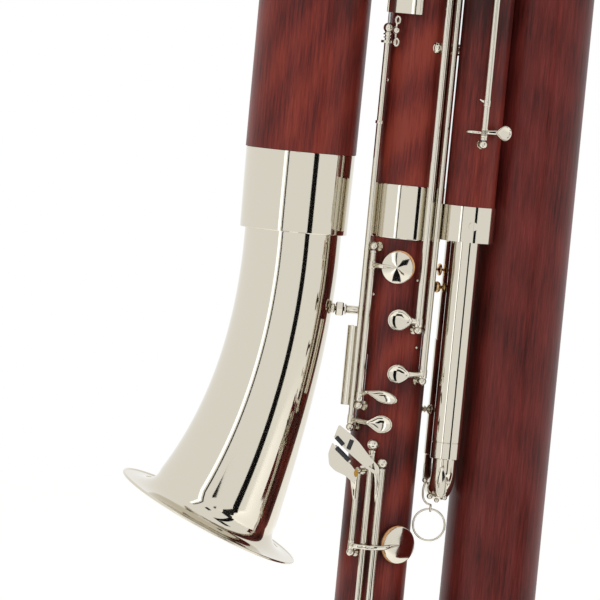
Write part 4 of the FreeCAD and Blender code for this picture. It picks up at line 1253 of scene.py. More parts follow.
@dataclass
class Bell:
    """The curved and flared metal bell with its wired rim."""

    tenon: float = 26.0
    radius: float = 45.0
    wall: float = 1.2
    arc_radius: float = 671.0
    arc_deg: float = 23.0
    lean_deg: float = 6.0
    straight: float = 11.2
    throat_radius: float = 60.0
    flare_length: float = 20.0
    flare_power: float = 0.70
    rim_radius: float = 90.0
    rim_wire: float = 1.3
    body_steps: int = 44
    flare_steps: int = 24
    sides: int = 128

    @property
    def length(self) -> float:
        """The length of the centre line below the collar."""
        return self.straight + self.arc_radius * math.radians(self.arc_deg)

    def frame_at(self, plan: Plan, run: float) -> tuple[Vector, Vector, Vector]:
        """Gives the centre and the two directions of a cross-section.

        Args:
            plan: The shared plan.
            run: The distance along the centre line below the collar.

        Returns:
            The centre, the direction towards the outside of the curve, and the level one.
        """
        lean = math.radians(self.lean_deg)
        aside = Vector((-math.cos(lean), math.sin(lean), 0.0))
        turn = max(run - self.straight, 0.0) / self.arc_radius
        drop = self.arc_radius * math.sin(turn) + min(run, self.straight)
        centre = plan.bell.at(COLLAR_FOOT - drop) + aside * (self.arc_radius * (1 - math.cos(turn)))
        heading = DOWN * math.cos(turn) + aside * math.sin(turn)
        level = UP.cross(aside)
        return centre, heading.cross(level), level

    def profile(self) -> list[tuple[float, float]]:
        """Gives pairs of run and radius of the outer face, from the tenon's end to the rim."""
        throat = self.length - self.flare_length
        pairs = [(-self.tenon, self.radius), (0.0, self.radius)]
        widening, flaring = self.throat_radius - self.radius, self.rim_radius - self.throat_radius
        for step in range(1, self.body_steps + 1):
            part = step / self.body_steps
            pairs.append((throat * part, self.radius + widening * part ** 3))
        for step in range(1, self.flare_steps + 1):
            turn = math.pi / 2 * step / self.flare_steps
            run = self.flare_length * math.sin(turn) ** self.flare_power
            grown = 1 - max(math.cos(turn), 0.0) ** self.flare_power
            pairs.append((throat + run, self.throat_radius + flaring * grown))
        return pairs

    def inner(self, pairs: Sequence[tuple[float, float]]) -> list[tuple[float, float]]:
        """Gives the inner face, one wall inside the outer one, in the same order."""
        result = []
        for index, (run, radius) in enumerate(pairs):
            before, after = pairs[max(index - 1, 0)], pairs[min(index + 1, len(pairs) - 1)]
            step = Vector((after[0] - before[0], after[1] - before[1])).normalized()
            result.append((run + step.y * self.wall, radius - step.x * self.wall))
        return result

    def ring(self, plan: Plan, run: float, radius: float) -> list[Vector]:
        """Gives one ring of points."""
        centre, across, level = self.frame_at(plan, run)
        return oval(centre, across, level, (radius, radius), self.sides)

    def build(self, plan: Plan) -> None:
        """Makes the bell and its rim wire."""
        outer = self.profile()
        loop = outer + self.inner(outer)[::-1]
        shape = Shape()
        shape.rings([self.ring(plan, run, radius) for run, radius in loop], joined=True)
        plan.fit(shape.make("spun_bell", 40.0), "instrument", Slot.SILVER, ["metal_bell"])
        rim = self.ring(plan, self.length + self.wall / 2, self.rim_radius - 0.5)
        wire = plan.wires.draw("rim_wire", [(rim, True)], self.rim_wire,
                               plan.finishes.made[Slot.SILVER], 16)
        plan.fit(wire, "instrument")


# Bows, ferrules and tubes


@dataclass
class Bow:
    """A bent tube from one upright to another."""

    name: str
    first: str
    second: str
    height: float
    leg: float
    radii: tuple[float, float]
    upward: bool
    wall: float = 1.5
    steps: int = 40
    sides: int = 72
    body: str = "instrument"
    inset: float = 0.06

    def rings(self, plan: Plan, taken: float) -> list[list[Vector]]:
        """Gives the rings of the outer face, or of the bore when the wall is taken."""
        first, second = getattr(plan, self.first), getattr(plan, self.second)
        heading = UP if self.upward else DOWN
        span = second.at(0.0) - first.at(0.0)
        across, half = span.normalized(), span.length / 2
        centre = (first.at(self.height) + second.at(self.height)) / 2 + heading * self.leg
        normal = across.cross(heading)
        places = [(first.at(self.height), heading, 0.0)]
        for step in range(self.steps + 1):
            turn = math.pi * step / self.steps
            places.append((centre - across * (half * math.cos(turn)) + heading * (half * math.sin(turn)),
                           heading * math.cos(turn) + across * math.sin(turn), step / self.steps))
        places.append((second.at(self.height), -heading, 1.0))
        rings = []
        for place, course, part in places:
            radius = self.radii[0] + (self.radii[1] - self.radii[0]) * part - taken - self.inset
            rings.append(oval(place, normal, course.cross(normal), (radius, radius), self.sides))
        return rings

    def build(self, plan: Plan) -> None:
        """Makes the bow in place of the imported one."""
        shape = Shape()
        shape.rings(self.rings(plan, 0.0) + self.rings(plan, self.wall)[::-1], joined=True)
        plan.fit(shape.make("bent_" + self.name), self.body, Slot.SILVER, [self.name])


@dataclass
class Crook:
    """The tapered blowing pipe."""

    foot_radius: float = 6.4
    tip_radius: float = 3.4
    wall: float = 0.6
    rise: float = 12.0
    arc_radius: float = 62.0
    run: float = 120.0
    tip_length: float = 8.0
    socket_top: float = 1300.0
    socket_depth: float = 34.0
    arc_steps: int = 20
    sides: int = 40

    def stations(self, plan: Plan) -> list[tuple[Vector, Vector, float]]:
        """Gives the centre line with its course and outer radius."""
        back = -FRONT
        start = plan.receiver.at(self.socket_top)
        bend = start + UP * self.rise + back * self.arc_radius
        arc = self.arc_radius * math.pi / 2
        whole = self.rise + arc + self.run
        places = [(start - UP * self.socket_depth, UP, self.foot_radius), (start, UP, self.foot_radius)]
        for step in range(self.arc_steps + 1):
            turn = math.pi / 2 * step / self.arc_steps
            rise = UP * math.sin(turn) - back * math.cos(turn)
            course = UP * math.cos(turn) + back * math.sin(turn)
            part = (self.rise + arc * step / self.arc_steps) / whole
            places.append((bend + rise * self.arc_radius, course,
                           self.foot_radius + (self.tip_radius - self.foot_radius) * part))
        tip = bend + UP * self.arc_radius + back * self.run
        places += [(tip, back, self.tip_radius), (tip + back * self.tip_length, back, self.tip_radius)]
        return places

    def build(self, plan: Plan) -> None:
        """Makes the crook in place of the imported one."""
        shape = Shape()
        outer, inner = [], []
        for place, course, radius in self.stations(plan):
            other = course.cross(RIGHT)
            for rings, reach in ((outer, radius), (inner, radius - self.wall)):
                rings.append(oval(place, RIGHT, other, (reach, reach), self.sides))
        shape.rings(outer + inner[::-1], joined=True)
        plan.fit(shape.make("drawn_crook"), "crook", Slot.SILVER, ["crook"])


@dataclass
class Ferrules:
    """The turned ferrules and bands of three joints, with softly broken edges."""

    wall: float = 1.6
    height: float = 30.0
    lip: float = 12.0
    groove: float = 0.45
    bead: tuple[float, float, float] = (4.0, 3.2, 0.6)
    break_edge: float = 0.7
    band: tuple[float, float] = (826.0, 876.0)
    collar: Sequence[tuple[float, float]] = ((45.0, 0.0), (49.9, 0.0), (50.9, 75.0), (47.5, 75.0),
                                             (47.5, 2.0), (45.0, 2.0))

    def ring(self, shape: Shape, tube: Tube, outline: Sequence[tuple[float, float]]) -> None:
        """Adds one turned ring."""
        shape.turned(held(rounded(outline, self.break_edge, 2)), tube.at(0.0), UP, 128)

    def capped(self, shape: Shape, tube: Tube, bow: float, end: float, upward: bool) -> None:
        """Adds a ferrule that holds the end of a bow.

        Args:
            shape: What it is added to.
            tube: The wooden joint.
            bow: The bow's radius there.
            end: The height at which the wood ends.
            upward: Whether the bow leaves upwards.
        """
        way = 1.0 if upward else -1.0
        bead = tube.radius + self.wall - 0.05
        outer = tube.radius + self.wall - self.groove
        foot, top = end - way * self.height, end + way * self.lip
        below, low, high = (top - way * drop for drop in self.bead)
        self.ring(shape, tube, [(tube.radius, foot), (outer, foot), (outer, below), (bead, low),
                                (bead, high), (outer, top), (bow, top), (bow, end), (tube.radius, end)])

    def build(self, plan: Plan) -> None:
        """Makes the ferrules of the middle, bass and bell joints."""
        middle = Shape()
        self.capped(middle, plan.middle, BOTTOM_BOW[0], FOOT, False)
        self.capped(middle, plan.middle, SMALL_BOW[1], MIDDLE_TOP, True)
        inner, outer = plan.middle.radius, plan.middle.radius + self.wall
        low, high = self.band
        self.ring(middle, plan.middle, [(inner, low), (outer, low), (outer, high), (inner, high)])
        plan.fit(middle.make("middle_bands", 25.0), "instrument", Slot.SILVER, ["middle_ferrules"])
        bass = Shape()
        self.capped(bass, plan.bass, BOTTOM_BOW[1], FOOT, False)
        self.capped(bass, plan.bass, TOP_BOW[0], BASS_TOP, True)
        plan.fit(bass.make("bass_bands", 25.0), "instrument", Slot.SILVER, ["bass_ferrules"])
        bell = Shape()
        self.capped(bell, plan.bell, TOP_BOW[1], BASS_TOP, True)
        self.ring(bell, plan.bell, [(radius, COLLAR_FOOT + rise) for radius, rise in self.collar])
        plan.fit(bell.make("bell_bands", 25.0), "instrument", Slot.SILVER, ["bell_ferrules"])


@dataclass
class TuningSlide:
    """The tuning slide: its sleeves, bend, water key, hook and pull ring."""

    foot: float = 626.5
    front_top: float = 829.3
    back_top: float = 735.0
    front_radius: float = 13.7
    back_radius: float = 11.95
    bore: float = 11.35
    tube_radius: float = 11.3
    bend_top: float = 710.0
    bend_centre: float = 614.9
    line_height: float = 642.0
    ring_radius: float = 14.7
    wire: float = 0.95
    eye_radius: float = 3.0
    pin_radius: float = 0.9
    pin_length: float = 10.0
    lug_side: float = 4.2
    lug: Sequence[tuple] = ((-6.5, 4.2), (-2.5, 3.6), (0.6, 2.4), (2.2, 1.1))
    lever: Sequence[tuple] = ((14.0, 1.6, 0.5), (13.0, 1.3, 2.1), (9.0, 0.7, 3.3), (3.0, 0.2, 4.4),
                              (-4.0, 0.0, 4.9), (-10.0, 0.2, 4.3), (-13.4, 0.6, 2.6), (-14.4, 0.8, 0.5))
    knobs: Sequence[tuple] = ((-9.0, -77.0, 590.0, 2.8), (4.8, -79.0, 590.2, 2.5),
                              (-2.4, -80.5, 587.2, 2.3))
    bends: Sequence[tuple] = ((-12.4, -62.0, 602.0), (-14.6, -64.0, 599.0), (-15.3, -67.0, 593.0),
                              (-14.4, -71.0, 587.0), (-11.2, -73.4, 583.0))

    def build(self, plan: Plan) -> None:
        """Makes every piece of the slide."""
        self.build_sleeves(plan)
        leg = self.bend_top - self.bend_centre
        Bow("u_bend", "wing", "receiver", self.bend_top, leg, (self.tube_radius, self.tube_radius), False,
            wall=1.0, sides=64, body="slide").build(plan)
        self.build_lugs(plan)
        self.build_key(plan)
        self.build_ring(plan)

    def build_sleeves(self, plan: Plan) -> None:
        """Makes the two sleeves, with a turned line near the foot of the front one."""
        shape = Shape()
        bore, wide, line = self.bore, self.front_radius, self.line_height
        outline = [(bore, self.foot), (wide - 0.4, self.foot), (wide, self.foot + 0.5), (wide, line - 0.5),
                   (wide - 0.35, line - 0.2), (wide - 0.35, line + 0.2), (wide, line + 0.5),
                   (wide, self.front_top), (bore, self.front_top)]
        shape.turned(held(outline), plan.wing.at(0.0), UP, 96)
        back = self.back_radius
        shape.turned(held([(bore, self.foot), (back - 0.3, self.foot), (back, self.foot + 0.4),
                           (back, self.back_top - 0.4), (back - 0.3, self.back_top), (bore, self.back_top)]),
                     plan.receiver.at(0.0), UP, 96)
        plan.fit(shape.make("smooth_sleeves"), "instrument", Slot.SILVER, ["slide_sleeves"])

    def pin(self, plan: Plan) -> Vector:
        """Gives the water key's hinge."""
        return Vector((plan.wing.x, plan.wing.y - 16.0, self.bend_centre - 8.9))

    def build_lugs(self, plan: Plan) -> None:
        """Makes the lugs of the water key and the knobs at the foot of the bend."""
        shape = Shape()
        pin = self.pin(plan)
        shape.rod(pin - RIGHT * (self.pin_length / 2), RIGHT, self.pin_radius, self.pin_length)
        for side in (-1.0, 1.0):
            head = pin + RIGHT * (side * 4.9)
            shape.solid([(1.9, 0.0), (1.9, 0.9), (1.3, 1.4)], head, RIGHT * side, 20)
            lug = [Station(pin + RIGHT * (side * self.lug_side) + FRONT * reach, tall, 0.8)
                   for reach, tall in self.lug]
            shape.bar(smooth_run(lug, 4), UP, 14)
        for *place, radius in self.knobs:
            shape.ball(Vector(place), radius, 20)
        plan.fit(shape.make("water_key_lugs"), "slide")

    def build_key(self, plan: Plan) -> None:
        """Makes the lens-shaped lever of the water key with its barrel and lid."""
        shape = Shape()
        pin = self.pin(plan)
        front = pin + FRONT * 1.9 - RIGHT * 1.6
        lever = [Station(front + UP * rise + FRONT * out - RIGHT * (0.05 * rise), wide, 0.9)
                 for rise, out, wide in self.lever]
        shape.bar(smooth_run(lever, 5), RIGHT, 20)
        shape.turned([(1.0, 0.0), (2.0, 0.0), (2.0, 6.4), (1.0, 6.4)], pin - RIGHT * 3.2, RIGHT, 20)
        lid = Vector((pin.x, pin.y - 0.4, self.bend_centre - 17.9))
        shape.solid([(4.3, 0.0), (4.3, 1.2), (3.6, 1.8)], lid, FRONT, 32, 0.2)
        plan.fit(shape.make("shaped_water_key"), "water_key", Slot.SILVER, ["water_key"])

    def build_ring(self, plan: Plan) -> None:
        """Makes the pull ring, its eye and the hook that carries them."""
        low, high = (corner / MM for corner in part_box("pull_ring"))
        centre = (low + high) / 2
        silver = plan.finishes.made[Slot.SILVER]
        run = oval(centre, RIGHT, UP, (self.ring_radius, self.ring_radius), 72)
        ring = plan.wires.draw("round_pull_ring", [(run, True)], self.wire, silver)
        plan.fit(ring, "pull_ring", Slot.SILVER, ["pull_ring"])
        eye = centre + UP * (self.ring_radius + 0.9)
        loop = oval(eye, FRONT, UP, (self.eye_radius, self.eye_radius), 28)
        bends = [Vector(bend) for bend in self.bends] + [eye + UP * self.eye_radius]
        path = [station.place for station in smooth_run([Station(bend, 1.0, 1.0) for bend in bends], 6)]
        hook = plan.wires.draw("pull_ring_hook", [(path, False), (loop, True)], self.wire, silver)
        plan.fit(hook, "slide")
        knob = Shape()
        knob.ball(Vector((-14.4, -63.0, 603.2)), 2.6, 20)
        knob.solid([(0.8, 0.0), (0.7, 14.0)], Vector((-16.0, -62.6, 604.5)), UP, 12, 0.6)
        plan.fit(knob.make("hook_knob"), "slide")


@dataclass
class BellStay:
    """The stay between the middle joint and the bell: rod, threaded pin, foot and hexagon nut."""

    drop: float = 68.3
    rod_radius: float = 3.9
    thread_radius: float = 2.3
    thread_turns: int = 14
    pitch: float = 0.8
    nut_radius: float = 7.3
    nut_length: float = 7.4
    nut_reach: float = 57.2
    rod_reach: float = 49.0
    thread_reach: float = 60.0
    foot_reach: float = 61.4

    def build(self, plan: Plan) -> None:
        """Makes the stay and its nut."""
        seat = plan.middle.at(COLLAR_FOOT - self.drop)
        shape = Shape()
        rod = self.rod_radius
        shape.turned(rounded([(0.5, 0.0), (rod + 1.2, 0.0), (rod + 1.2, 1.6), (rod, 2.2), (rod, 12.4),
                              (rod + 1.6, 13.4), (rod + 1.6, 17.6), (0.5, 17.6)], 0.3, 2),
                     seat - RIGHT * self.rod_reach, RIGHT, 40)
        thread = [(0.5, 0.0)]
        for turn in range(self.thread_turns):
            rise = self.pitch * turn
            thread += [(self.thread_radius, 0.4 + rise), (self.thread_radius - 0.3, 0.8 + rise)]
        shape.turned(thread + [(0.5, 11.8)], seat - RIGHT * self.thread_reach, RIGHT, 24)
        shape.turned(rounded([(0.5, 0.0), (4.9, 0.0), (4.9, 2.7), (3.4, 3.8), (0.5, 3.8)], 0.4, 2),
                     seat - RIGHT * self.foot_reach, RIGHT, 32)
        plan.fit(shape.make("turned_stay"), "instrument", Slot.SILVER, ["bell_stay"])
        nut = Shape()
        wide, long = self.nut_radius, self.nut_length
        nut.turned([(2.6, 0.0), (wide - 1.3, 0.0), (wide, 1.1), (wide, long - 1.1), (wide - 1.3, long),
                    (2.6, long)], seat - RIGHT * self.nut_reach, RIGHT, 6)
        plan.fit(nut.make("hexagon_nut", 20.0), "stay_nut", Slot.SILVER, ["stay_nut"])


@dataclass(frozen=True)
class Spool:
    """One turned brace between two tubes."""

    first: str
    second: str
    height: float
    radius: float
    waist: float
    near: float
    far: float

    def add(self, shape: Shape, plan: Plan) -> None:
        """Adds the brace with a flange at each tube and a bead in the middle."""
        start = getattr(plan, self.first).at(self.height)
        course = getattr(plan, self.second).at(self.height) - start
        gap = course.length - self.near - self.far
        flange, waist, bead = self.radius, self.waist, (self.radius + self.waist) / 2
        outline = [(flange, -0.6), (flange, gap * 0.10), (waist, gap * 0.24), (waist, gap * 0.42),
                   (bead, gap * 0.46), (bead, gap * 0.54), (waist, gap * 0.58), (waist, gap * 0.76),
                   (flange, gap * 0.90), (flange, gap + 0.6)]
        shape.solid(outline, start + course.normalized() * self.near, course, 40)


@dataclass
class Braces:
    """The braces between the tubes, with a brass disc and a brass knob in the gap."""

    spools: Sequence[Spool] = (
        Spool("middle", "receiver", 668.4, 4.4, 2.3, 32.2, 11.9),
        Spool("middle", "wing", 1005.0, 6.0, 5.0, 32.2, 23.3),
        Spool("receiver", "bass", 690.0, 5.0, 3.4, 11.9, 45.0),
        Spool("middle", "bass", 470.0, 8.0, 5.0, 32.2, 45.0),
        Spool("middle", "bass", 300.0, 8.0, 5.0, 32.2, 45.0),
        Spool("bell", "middle", 1226.0, 7.0, 4.6, 52.8, 32.2),
    )
    disc_height: float = 799.7
    knob_height: float = 783.3
    disc: Sequence[tuple] = ((1.2, 0.0), (1.2, 4.2), (2.2, 4.8), (5.6, 5.2), (5.9, 6.0), (5.6, 6.9),
                             (1.3, 7.2), (1.3, 9.6))
    knob: Sequence[tuple] = ((3.0, 0.0), (2.2, 1.2), (3.4, 2.0), (5.2, 3.4), (5.6, 5.2), (4.6, 7.2),
                             (2.4, 8.4), (1.4, 9.6))

    def build(self, plan: Plan) -> None:
        """Makes the braces, the disc and the knob."""
        shape = Shape()
        for spool in self.spools:
            spool.add(shape, plan)
        plan.fit(shape.make("turned_braces"), "instrument", Slot.SILVER, ["tube_braces"])
        brass = Shape()
        course = (plan.receiver.at(0.0) - plan.middle.at(0.0)).normalized()
        reach = course * (plan.middle.radius - 0.6)
        for outline, height in ((self.disc, self.disc_height), (self.knob, self.knob_height)):
            brass.solid(outline, plan.middle.at(height) + reach, course, 40)
        piece = plan.fit(brass.make("brass_brace_parts"), "instrument")
        plan.finishes.paint(piece, plan.finishes.brass_made)


@dataclass
class Guards:
    """The half-tube guard low on the left and the guard plate high over the hinge tubes."""

    low_side: float = -38.2
    low_depth: float = 10.0
    low_foot: float = 667.2
    low_length: float = 74.0
    low_radius: float = 6.2
    low_wrap: float = 95.0
    foot_size: tuple[float, float] = (2.2, 10.6)
    post_radius: float = 1.6
    steps: int = 24
    plate_reach: float = 44.4
    plate_wall: float = 1.1
    plate_foot: float = 1034.0
    plate_height: float = 58.0
    plate_from: float = -52.0
    plate_to: float = -6.8
    plate_steps: int = 20
    post_insets: tuple[float, float] = (4.0, 6.0)
    post_rises: tuple[float, float] = (8.0, 50.0)

    def build(self, plan: Plan) -> None:
        """Makes both guards."""
        shape = Shape()
        self.add_half_tube(shape, plan.middle)
        self.add_plate(shape, plan.middle)
        plan.fit(shape.make("rolled_guards"), "instrument", Slot.SILVER, ["key_guards"])

    def add_half_tube(self, shape: Shape, tube: Tube) -> None:
        """Adds the half tube, with its two feet against the wood."""
        axis = tube.beside(self.low_side, 0.0, self.low_depth)
        middle = tube.angle_of(axis)
        outer, inner = self.low_radius, self.low_radius - 1.0
        shares = [2.0 * step / self.steps - 1.0 for step in range(self.steps + 1)]
        wrap = [(outer, middle + self.low_wrap * share) for share in shares]
        wrap += [(inner, middle - self.low_wrap * share) for share in shares]
        rings = [[axis + tube.out(angle) * reach + UP * (self.low_foot + rise) for reach, angle in wrap]
                 for rise in (0.0, 0.3, self.low_length - 0.3, self.low_length)]
        shape.rings(rings)
        for rise in (4.0, self.low_length - 4.0):
            place = axis + UP * (self.low_foot + rise)
            inward = (tube.at(place.z) - place).normalized()
            shape.rod(place - inward * (outer - 1.0), inward, *self.foot_size, 20)

    def add_plate(self, shape: Shape, tube: Tube) -> None:
        """Adds the bent plate with a rolled edge on each side, and its four posts."""
        reach, wall, spread = self.plate_reach, self.plate_wall, self.plate_to - self.plate_from
        angles = [self.plate_from + spread * step / self.plate_steps for step in range(self.plate_steps + 1)]
        wrap = [(reach + wall, angle) for angle in angles] + [(reach, angle) for angle in angles[::-1]]
        rings = [[tube.point(angle, size, self.plate_foot + rise) for size, angle in wrap]
                 for rise in (0.0, 0.3, self.plate_height - 0.3, self.plate_height)]
        shape.rings(rings)
        for angle in (self.plate_from, self.plate_to):
            base, top = tube.point(angle, reach + 0.4, self.plate_foot), self.plate_height
            shape.turned(rounded([(0.3, 0.0), (1.3, 0.0), (1.3, top), (0.3, top)], 0.3, 2), base, UP, 16)
        for angle in (self.plate_from + self.post_insets[0], self.plate_to - self.post_insets[1]):
            for rise in self.post_rises:
                base = tube.point(angle, tube.radius - 0.5, self.plate_foot + rise)
                shape.rod(base, tube.out(angle), self.post_radius, reach - tube.radius + 1.0)


@dataclass
class Catches:
    """The knobs, collars and loops of the small screws and spring catches."""

    ball_height: float = 1019.5
    ball_radius: float = 5.0
    ball_side: float = -33.4
    reach: float = 8.5
    loops: Sequence[tuple[float, float]] = ((-25.6, 1027.5), (-25.2, 1006.9))
    loop_size: tuple[float, float] = (2.0, 3.3)
    loop_depth: float = 33.0
    loop_ball: tuple = (-26.2, 1017.8, 3.6)
    stem: Sequence[tuple] = ((-26.4, 1024.5, 33.0), (-26.6, 1016.0, 31.0), (-26.0, 1004.0, 33.0))
    screw_place: tuple = (13.4, 1005.2)
    screw_outline: Sequence[tuple] = ((5.1, 0.0), (5.1, 1.2), (3.6, 1.6), (3.4, 2.0), (4.5, 2.6), (4.5, 3.6),
                                      (3.2, 4.0), (3.4, 4.6), (2.4, 5.8))
    collars: Sequence[tuple[float, float, float]] = ((1013.6, 4.4, 1.6), (1010.6, 4.0, 1.2),
                                                     (1006.6, 6.0, 2.4), (932.0, 4.0, 3.0))

    def build(self, plan: Plan) -> None:
        """Makes the catches on the middle joint."""
        tube = plan.middle
        shape = Shape()
        reach = tube.radius + self.reach
        angle = math.degrees(math.asin(self.ball_side / reach))
        shape.ball(tube.point(angle, reach, self.ball_height), self.ball_radius, 28)
        for height, radius, long in self.collars:
            base = tube.point(angle, reach, height - long / 2)
            outline = rounded([(2.9, 0.0), (radius, 0.0), (radius, long), (2.9, long)], 0.3, 2)
            shape.turned(outline, base, UP, 32)
        side, height, radius = self.loop_ball
        shape.ball(tube.beside(side, height, self.loop_depth), radius, 24)
        self.screw(shape, tube)
        plan.fit(shape.make("catch_knobs"), "instrument")
        paths = [(oval(tube.beside(side, height, self.loop_depth), RIGHT, UP, self.loop_size, 28), True)
                 for side, height in self.loops]
        paths.append(([tube.beside(*place) for place in self.stem], False))
        loops = plan.wires.draw("catch_loops", paths, 1.0, plan.finishes.made[Slot.SILVER], 12)
        plan.fit(loops, "instrument")

    def screw(self, shape: Shape, tube: Tube) -> None:
        """Adds the ringed screw head beside the long hinge tubes."""
        side, height = self.screw_place
        angle = math.degrees(math.asin(side / tube.radius))
        base = tube.point(angle, tube.radius - 0.6, height)
        shape.solid(self.screw_outline, base, tube.out(angle), 32, 0.6)


# The studio


@dataclass(frozen=True)
class Card:
    """A dark or bright card that only polished metal mirrors.

    Its bearing is from the front, positive towards the right, and its rise from the level.
    """

    name: str
    bearing_deg: float
    rise_deg: float
    wide: float
    tall: float
    shade: float
    distance: float = 2.6
    tint: tuple = (1.0, 1.0, 1.0)
    lean_deg: float = 0.0
    centre: Vector = Vector((-0.05, -0.06, 0.75))

    def build(self) -> None:
        """Stands the card before its centre."""
        bearing, rise = math.radians(self.bearing_deg), math.radians(self.rise_deg)
        level = Vector((math.sin(bearing), -math.cos(bearing), 0.0))
        away = level * math.cos(rise) + UP * math.sin(rise)
        lean = Matrix.Rotation(math.radians(self.lean_deg), 3, away)
        side = lean @ UP.cross(away).normalized() * (self.wide / 2)
        tall = away.cross(side).normalized() * (self.tall / 2)
        place = self.centre + away * self.distance
        corners = [place - side - tall, place + side - tall, place + side + tall, place - side + tall]
        mesh = bpy.data.meshes.new(self.name)
        mesh.from_pydata([tuple(corner) for corner in corners], [], [(0, 1, 2, 3)])
        card = put(self.name, mesh)
        material = bpy.data.materials.new(self.name)
        material.use_nodes = True
        kit = NodeKit(material.node_tree)
        material.node_tree.nodes.clear()
        glow = kit.add("ShaderNodeEmission", Color=(*(self.shade * part for part in self.tint), 1.0))
        out = kit.add("ShaderNodeOutputMaterial")
        kit.link(glow.outputs[0], out.inputs["Surface"])
        mesh.materials.append(material)
        card.visible_camera = False
        card.visible_diffuse = False
        card.visible_shadow = False


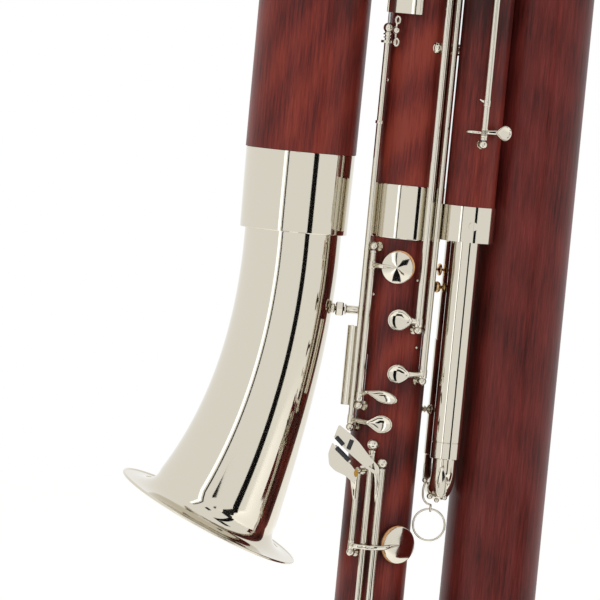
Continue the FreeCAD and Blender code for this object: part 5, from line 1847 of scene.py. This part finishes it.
@dataclass(frozen=True)
class Studio:
    """Pale floor, soft lamps, cards beside the camera and the photograph's camera."""

    scale: float = 0.930 * MM
    distance: float = 4.5
    elevation_deg: float = 3.0
    roll_deg: float = 5.5
    aim: Vector = Vector((-0.1465, -0.07, 0.760))
    middle: Vector = Vector((-0.05, -0.05, 0.75))
    sensor: float = 36.0
    frame_px: int = 600
    sky_strength: float = 0.62
    floor_half: float = 6.0
    floor_glow: float = 0.45
    lamps: Sequence[tuple] = (("key_lamp", Vector((-1.6, -2.8, 2.2)), (1.3, 1.8), 34.0),
                              ("fill_lamp", Vector((2.2, -2.2, 1.4)), (1.4, 1.8), 20.0),
                              ("back_lamp", Vector((0.4, 2.6, 2.0)), (1.6, 1.6), 14.0))
    cards: Sequence[Card] = (
        Card("thin_card", -26.0, -2.0, 0.12, 5.0, 0.01),
        Card("bright_card", -32.5, -2.0, 0.22, 5.0, 2.1, 2.6, (0.94, 0.97, 1.0)),
        Card("broad_card", 33.0, -2.0, 0.50, 5.0, 0.008),
        Card("low_left_card", -21.5, -19.0, 0.36, 0.26, 0.01, 1.3),
        Card("low_right_card", 17.5, -19.5, 0.46, 0.22, 0.02, 1.3),
        # The edge card glows a dull pink so that a key cup mirrors it: a painted pink reflection
        Card("edge_card", -7.5, -12.5, 0.10, 0.08, 0.16, 1.3, (1.0, 0.6, 0.55)),
        Card("low_card", 0.0, -42.0, 0.7, 0.20, 0.05, 0.9),
        Card("camera_card", -6.6, 11.0, 0.46, 0.44, 0.01),
        Card("high_card", 50.0, 36.0, 0.9, 0.6, 0.04),
        # The red card glows red close beside the low key's cup so that the cup mirrors it: a painted red
        # reflection
        Card("red_card", 70.0, -3.0, 0.090, 0.120, 0.085, 0.25, (1.0, 0.13, 0.11), -9.6,
             Vector((-0.0151, -0.0426, 0.5430))),
    )

    def camera(self) -> None:
        """Puts the camera where the photograph was taken from."""
        data = bpy.data.cameras.new("photo_camera")
        data.sensor_width = self.sensor
        data.lens = self.distance * self.sensor / (self.frame_px * self.scale)
        data.clip_end = 50.0
        camera = put("photo_camera", data)
        rise, roll = math.radians(self.elevation_deg), math.radians(self.roll_deg)
        back = Vector((0.0, -math.cos(rise), math.sin(rise)))
        over = back.cross(RIGHT)
        side = RIGHT * math.cos(roll) + over * math.sin(roll)
        up = over * math.cos(roll) - RIGHT * math.sin(roll)
        turn = Matrix((side, up, back)).transposed().to_4x4()
        camera.matrix_world = Matrix.Translation(self.aim + back * self.distance) @ turn
        bpy.context.scene.camera = camera

    def lamp(self, name: str, place: Vector, size: tuple[float, float], power: float) -> None:
        """Adds one soft area lamp that looks at the middle of the instrument.

        Args:
            name: The lamp's name.
            place: Where it hangs.
            size: Its width and height.
            power: Its power in watts.
        """
        data = bpy.data.lights.new(name, "AREA")
        data.shape = "RECTANGLE"
        data.size, data.size_y = size
        data.energy = power
        lamp = put(name, data)
        lamp.location = place
        lamp.rotation_mode = "QUATERNION"
        lamp.rotation_quaternion = (self.middle - place).to_track_quat("-Z", "Y")
        lamp.visible_glossy = False

    def seen_white(self, kit: NodeKit) -> bpy.types.NodeSocket:
        """Gives a value that is 1 for rays on which the surroundings are seen."""
        path = kit.add("ShaderNodeLightPath")
        either = kit.math("MAXIMUM", path.outputs["Is Camera Ray"], path.outputs["Is Glossy Ray"])
        return kit.math("MAXIMUM", either, path.outputs["Is Transmission Ray"])

    def floor(self) -> None:
        """Lays a plain pale floor that keeps the object's shadow."""
        half = self.floor_half
        mesh = bpy.data.meshes.new("floor")
        mesh.from_pydata([(-half, -half, 0), (half, -half, 0), (half, half, 0), (-half, half, 0)], [],
                         [(0, 1, 2, 3)])
        floor = put("floor", mesh)
        material, kit, shader = new_material("pale_floor")
        kit.tune(shader, Base_Color=(0.85, 0.85, 0.84, 1.0), Roughness=0.9)
        glow = kit.add("ShaderNodeEmission", Color=(*[self.floor_glow] * 3, 1.0))
        both = kit.add("ShaderNodeAddShader")
        mix = kit.add("ShaderNodeMixShader")
        out = material.node_tree.nodes["Material Output"]
        kit.link(shader.outputs[0], both.inputs[0])
        kit.link(glow.outputs[0], both.inputs[1])
        kit.link(self.seen_white(kit), mix.inputs[0])
        kit.link(shader.outputs[0], mix.inputs[1])
        kit.link(both.outputs[0], mix.inputs[2])
        kit.link(mix.outputs[0], out.inputs["Surface"])
        mesh.materials.append(material)

    def sky(self) -> None:
        """Lights everything evenly and shows white where the surroundings are seen."""
        world = bpy.data.worlds.new("studio")
        world.use_nodes = True
        world.node_tree.nodes.clear()
        kit = NodeKit(world.node_tree)
        soft = kit.add("ShaderNodeBackground", Color=(1.0, 0.99, 0.97, 1.0), Strength=self.sky_strength)
        shown = kit.add("ShaderNodeBackground", Color=(1.0, 1.0, 1.0, 1.0), Strength=1.0)
        mix = kit.add("ShaderNodeMixShader")
        out = kit.add("ShaderNodeOutputWorld")
        kit.link(self.seen_white(kit), mix.inputs[0])
        kit.link(soft.outputs[0], mix.inputs[1])
        kit.link(shown.outputs[0], mix.inputs[2])
        kit.link(mix.outputs[0], out.inputs["Surface"])
        bpy.context.scene.world = world

    def build(self) -> None:
        """Sets up the whole studio."""
        bpy.context.scene.view_settings.view_transform = "Standard"
        self.sky()
        self.floor()
        for name, place, size, power in self.lamps:
            self.lamp(name, place, size, power)
        for card in self.cards:
            card.build()
        self.camera()


def bows() -> list[Bow]:
    """Gives the three bows."""
    return [Bow("top_bow", "bass", "bell", BASS_TOP, 14.0, TOP_BOW, True),
            Bow("small_bow", "wing", "middle", MIDDLE_TOP, 14.0, SMALL_BOW, True),
            Bow("bottom_bow", "middle", "bass", FOOT, 16.0, BOTTOM_BOW, False)]


def main() -> None:
    """Builds the scene in order."""
    logging.basicConfig(level=logging.INFO, format="%(message)s")
    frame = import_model()
    finishes = Finishes()
    finishes.build()
    slots = {entry["node"]: Slot(entry["material_slot"]) for entry in frame["record"]["subparts"]}
    for name, piece in frame["nodes"].items():
        finishes.paint(piece, finishes.woods.get(name, finishes.made[slots[name]]))
    plan = Plan.read(frame, finishes)
    for assembly in (Bell(), *bows(), Ferrules(), Crook(), TuningSlide(), BellStay(), Braces(), Guards(),
                     Catches(), Keywork()):
        assembly.build(plan)
    Studio().build()


if __name__ == "__main__":
    main()
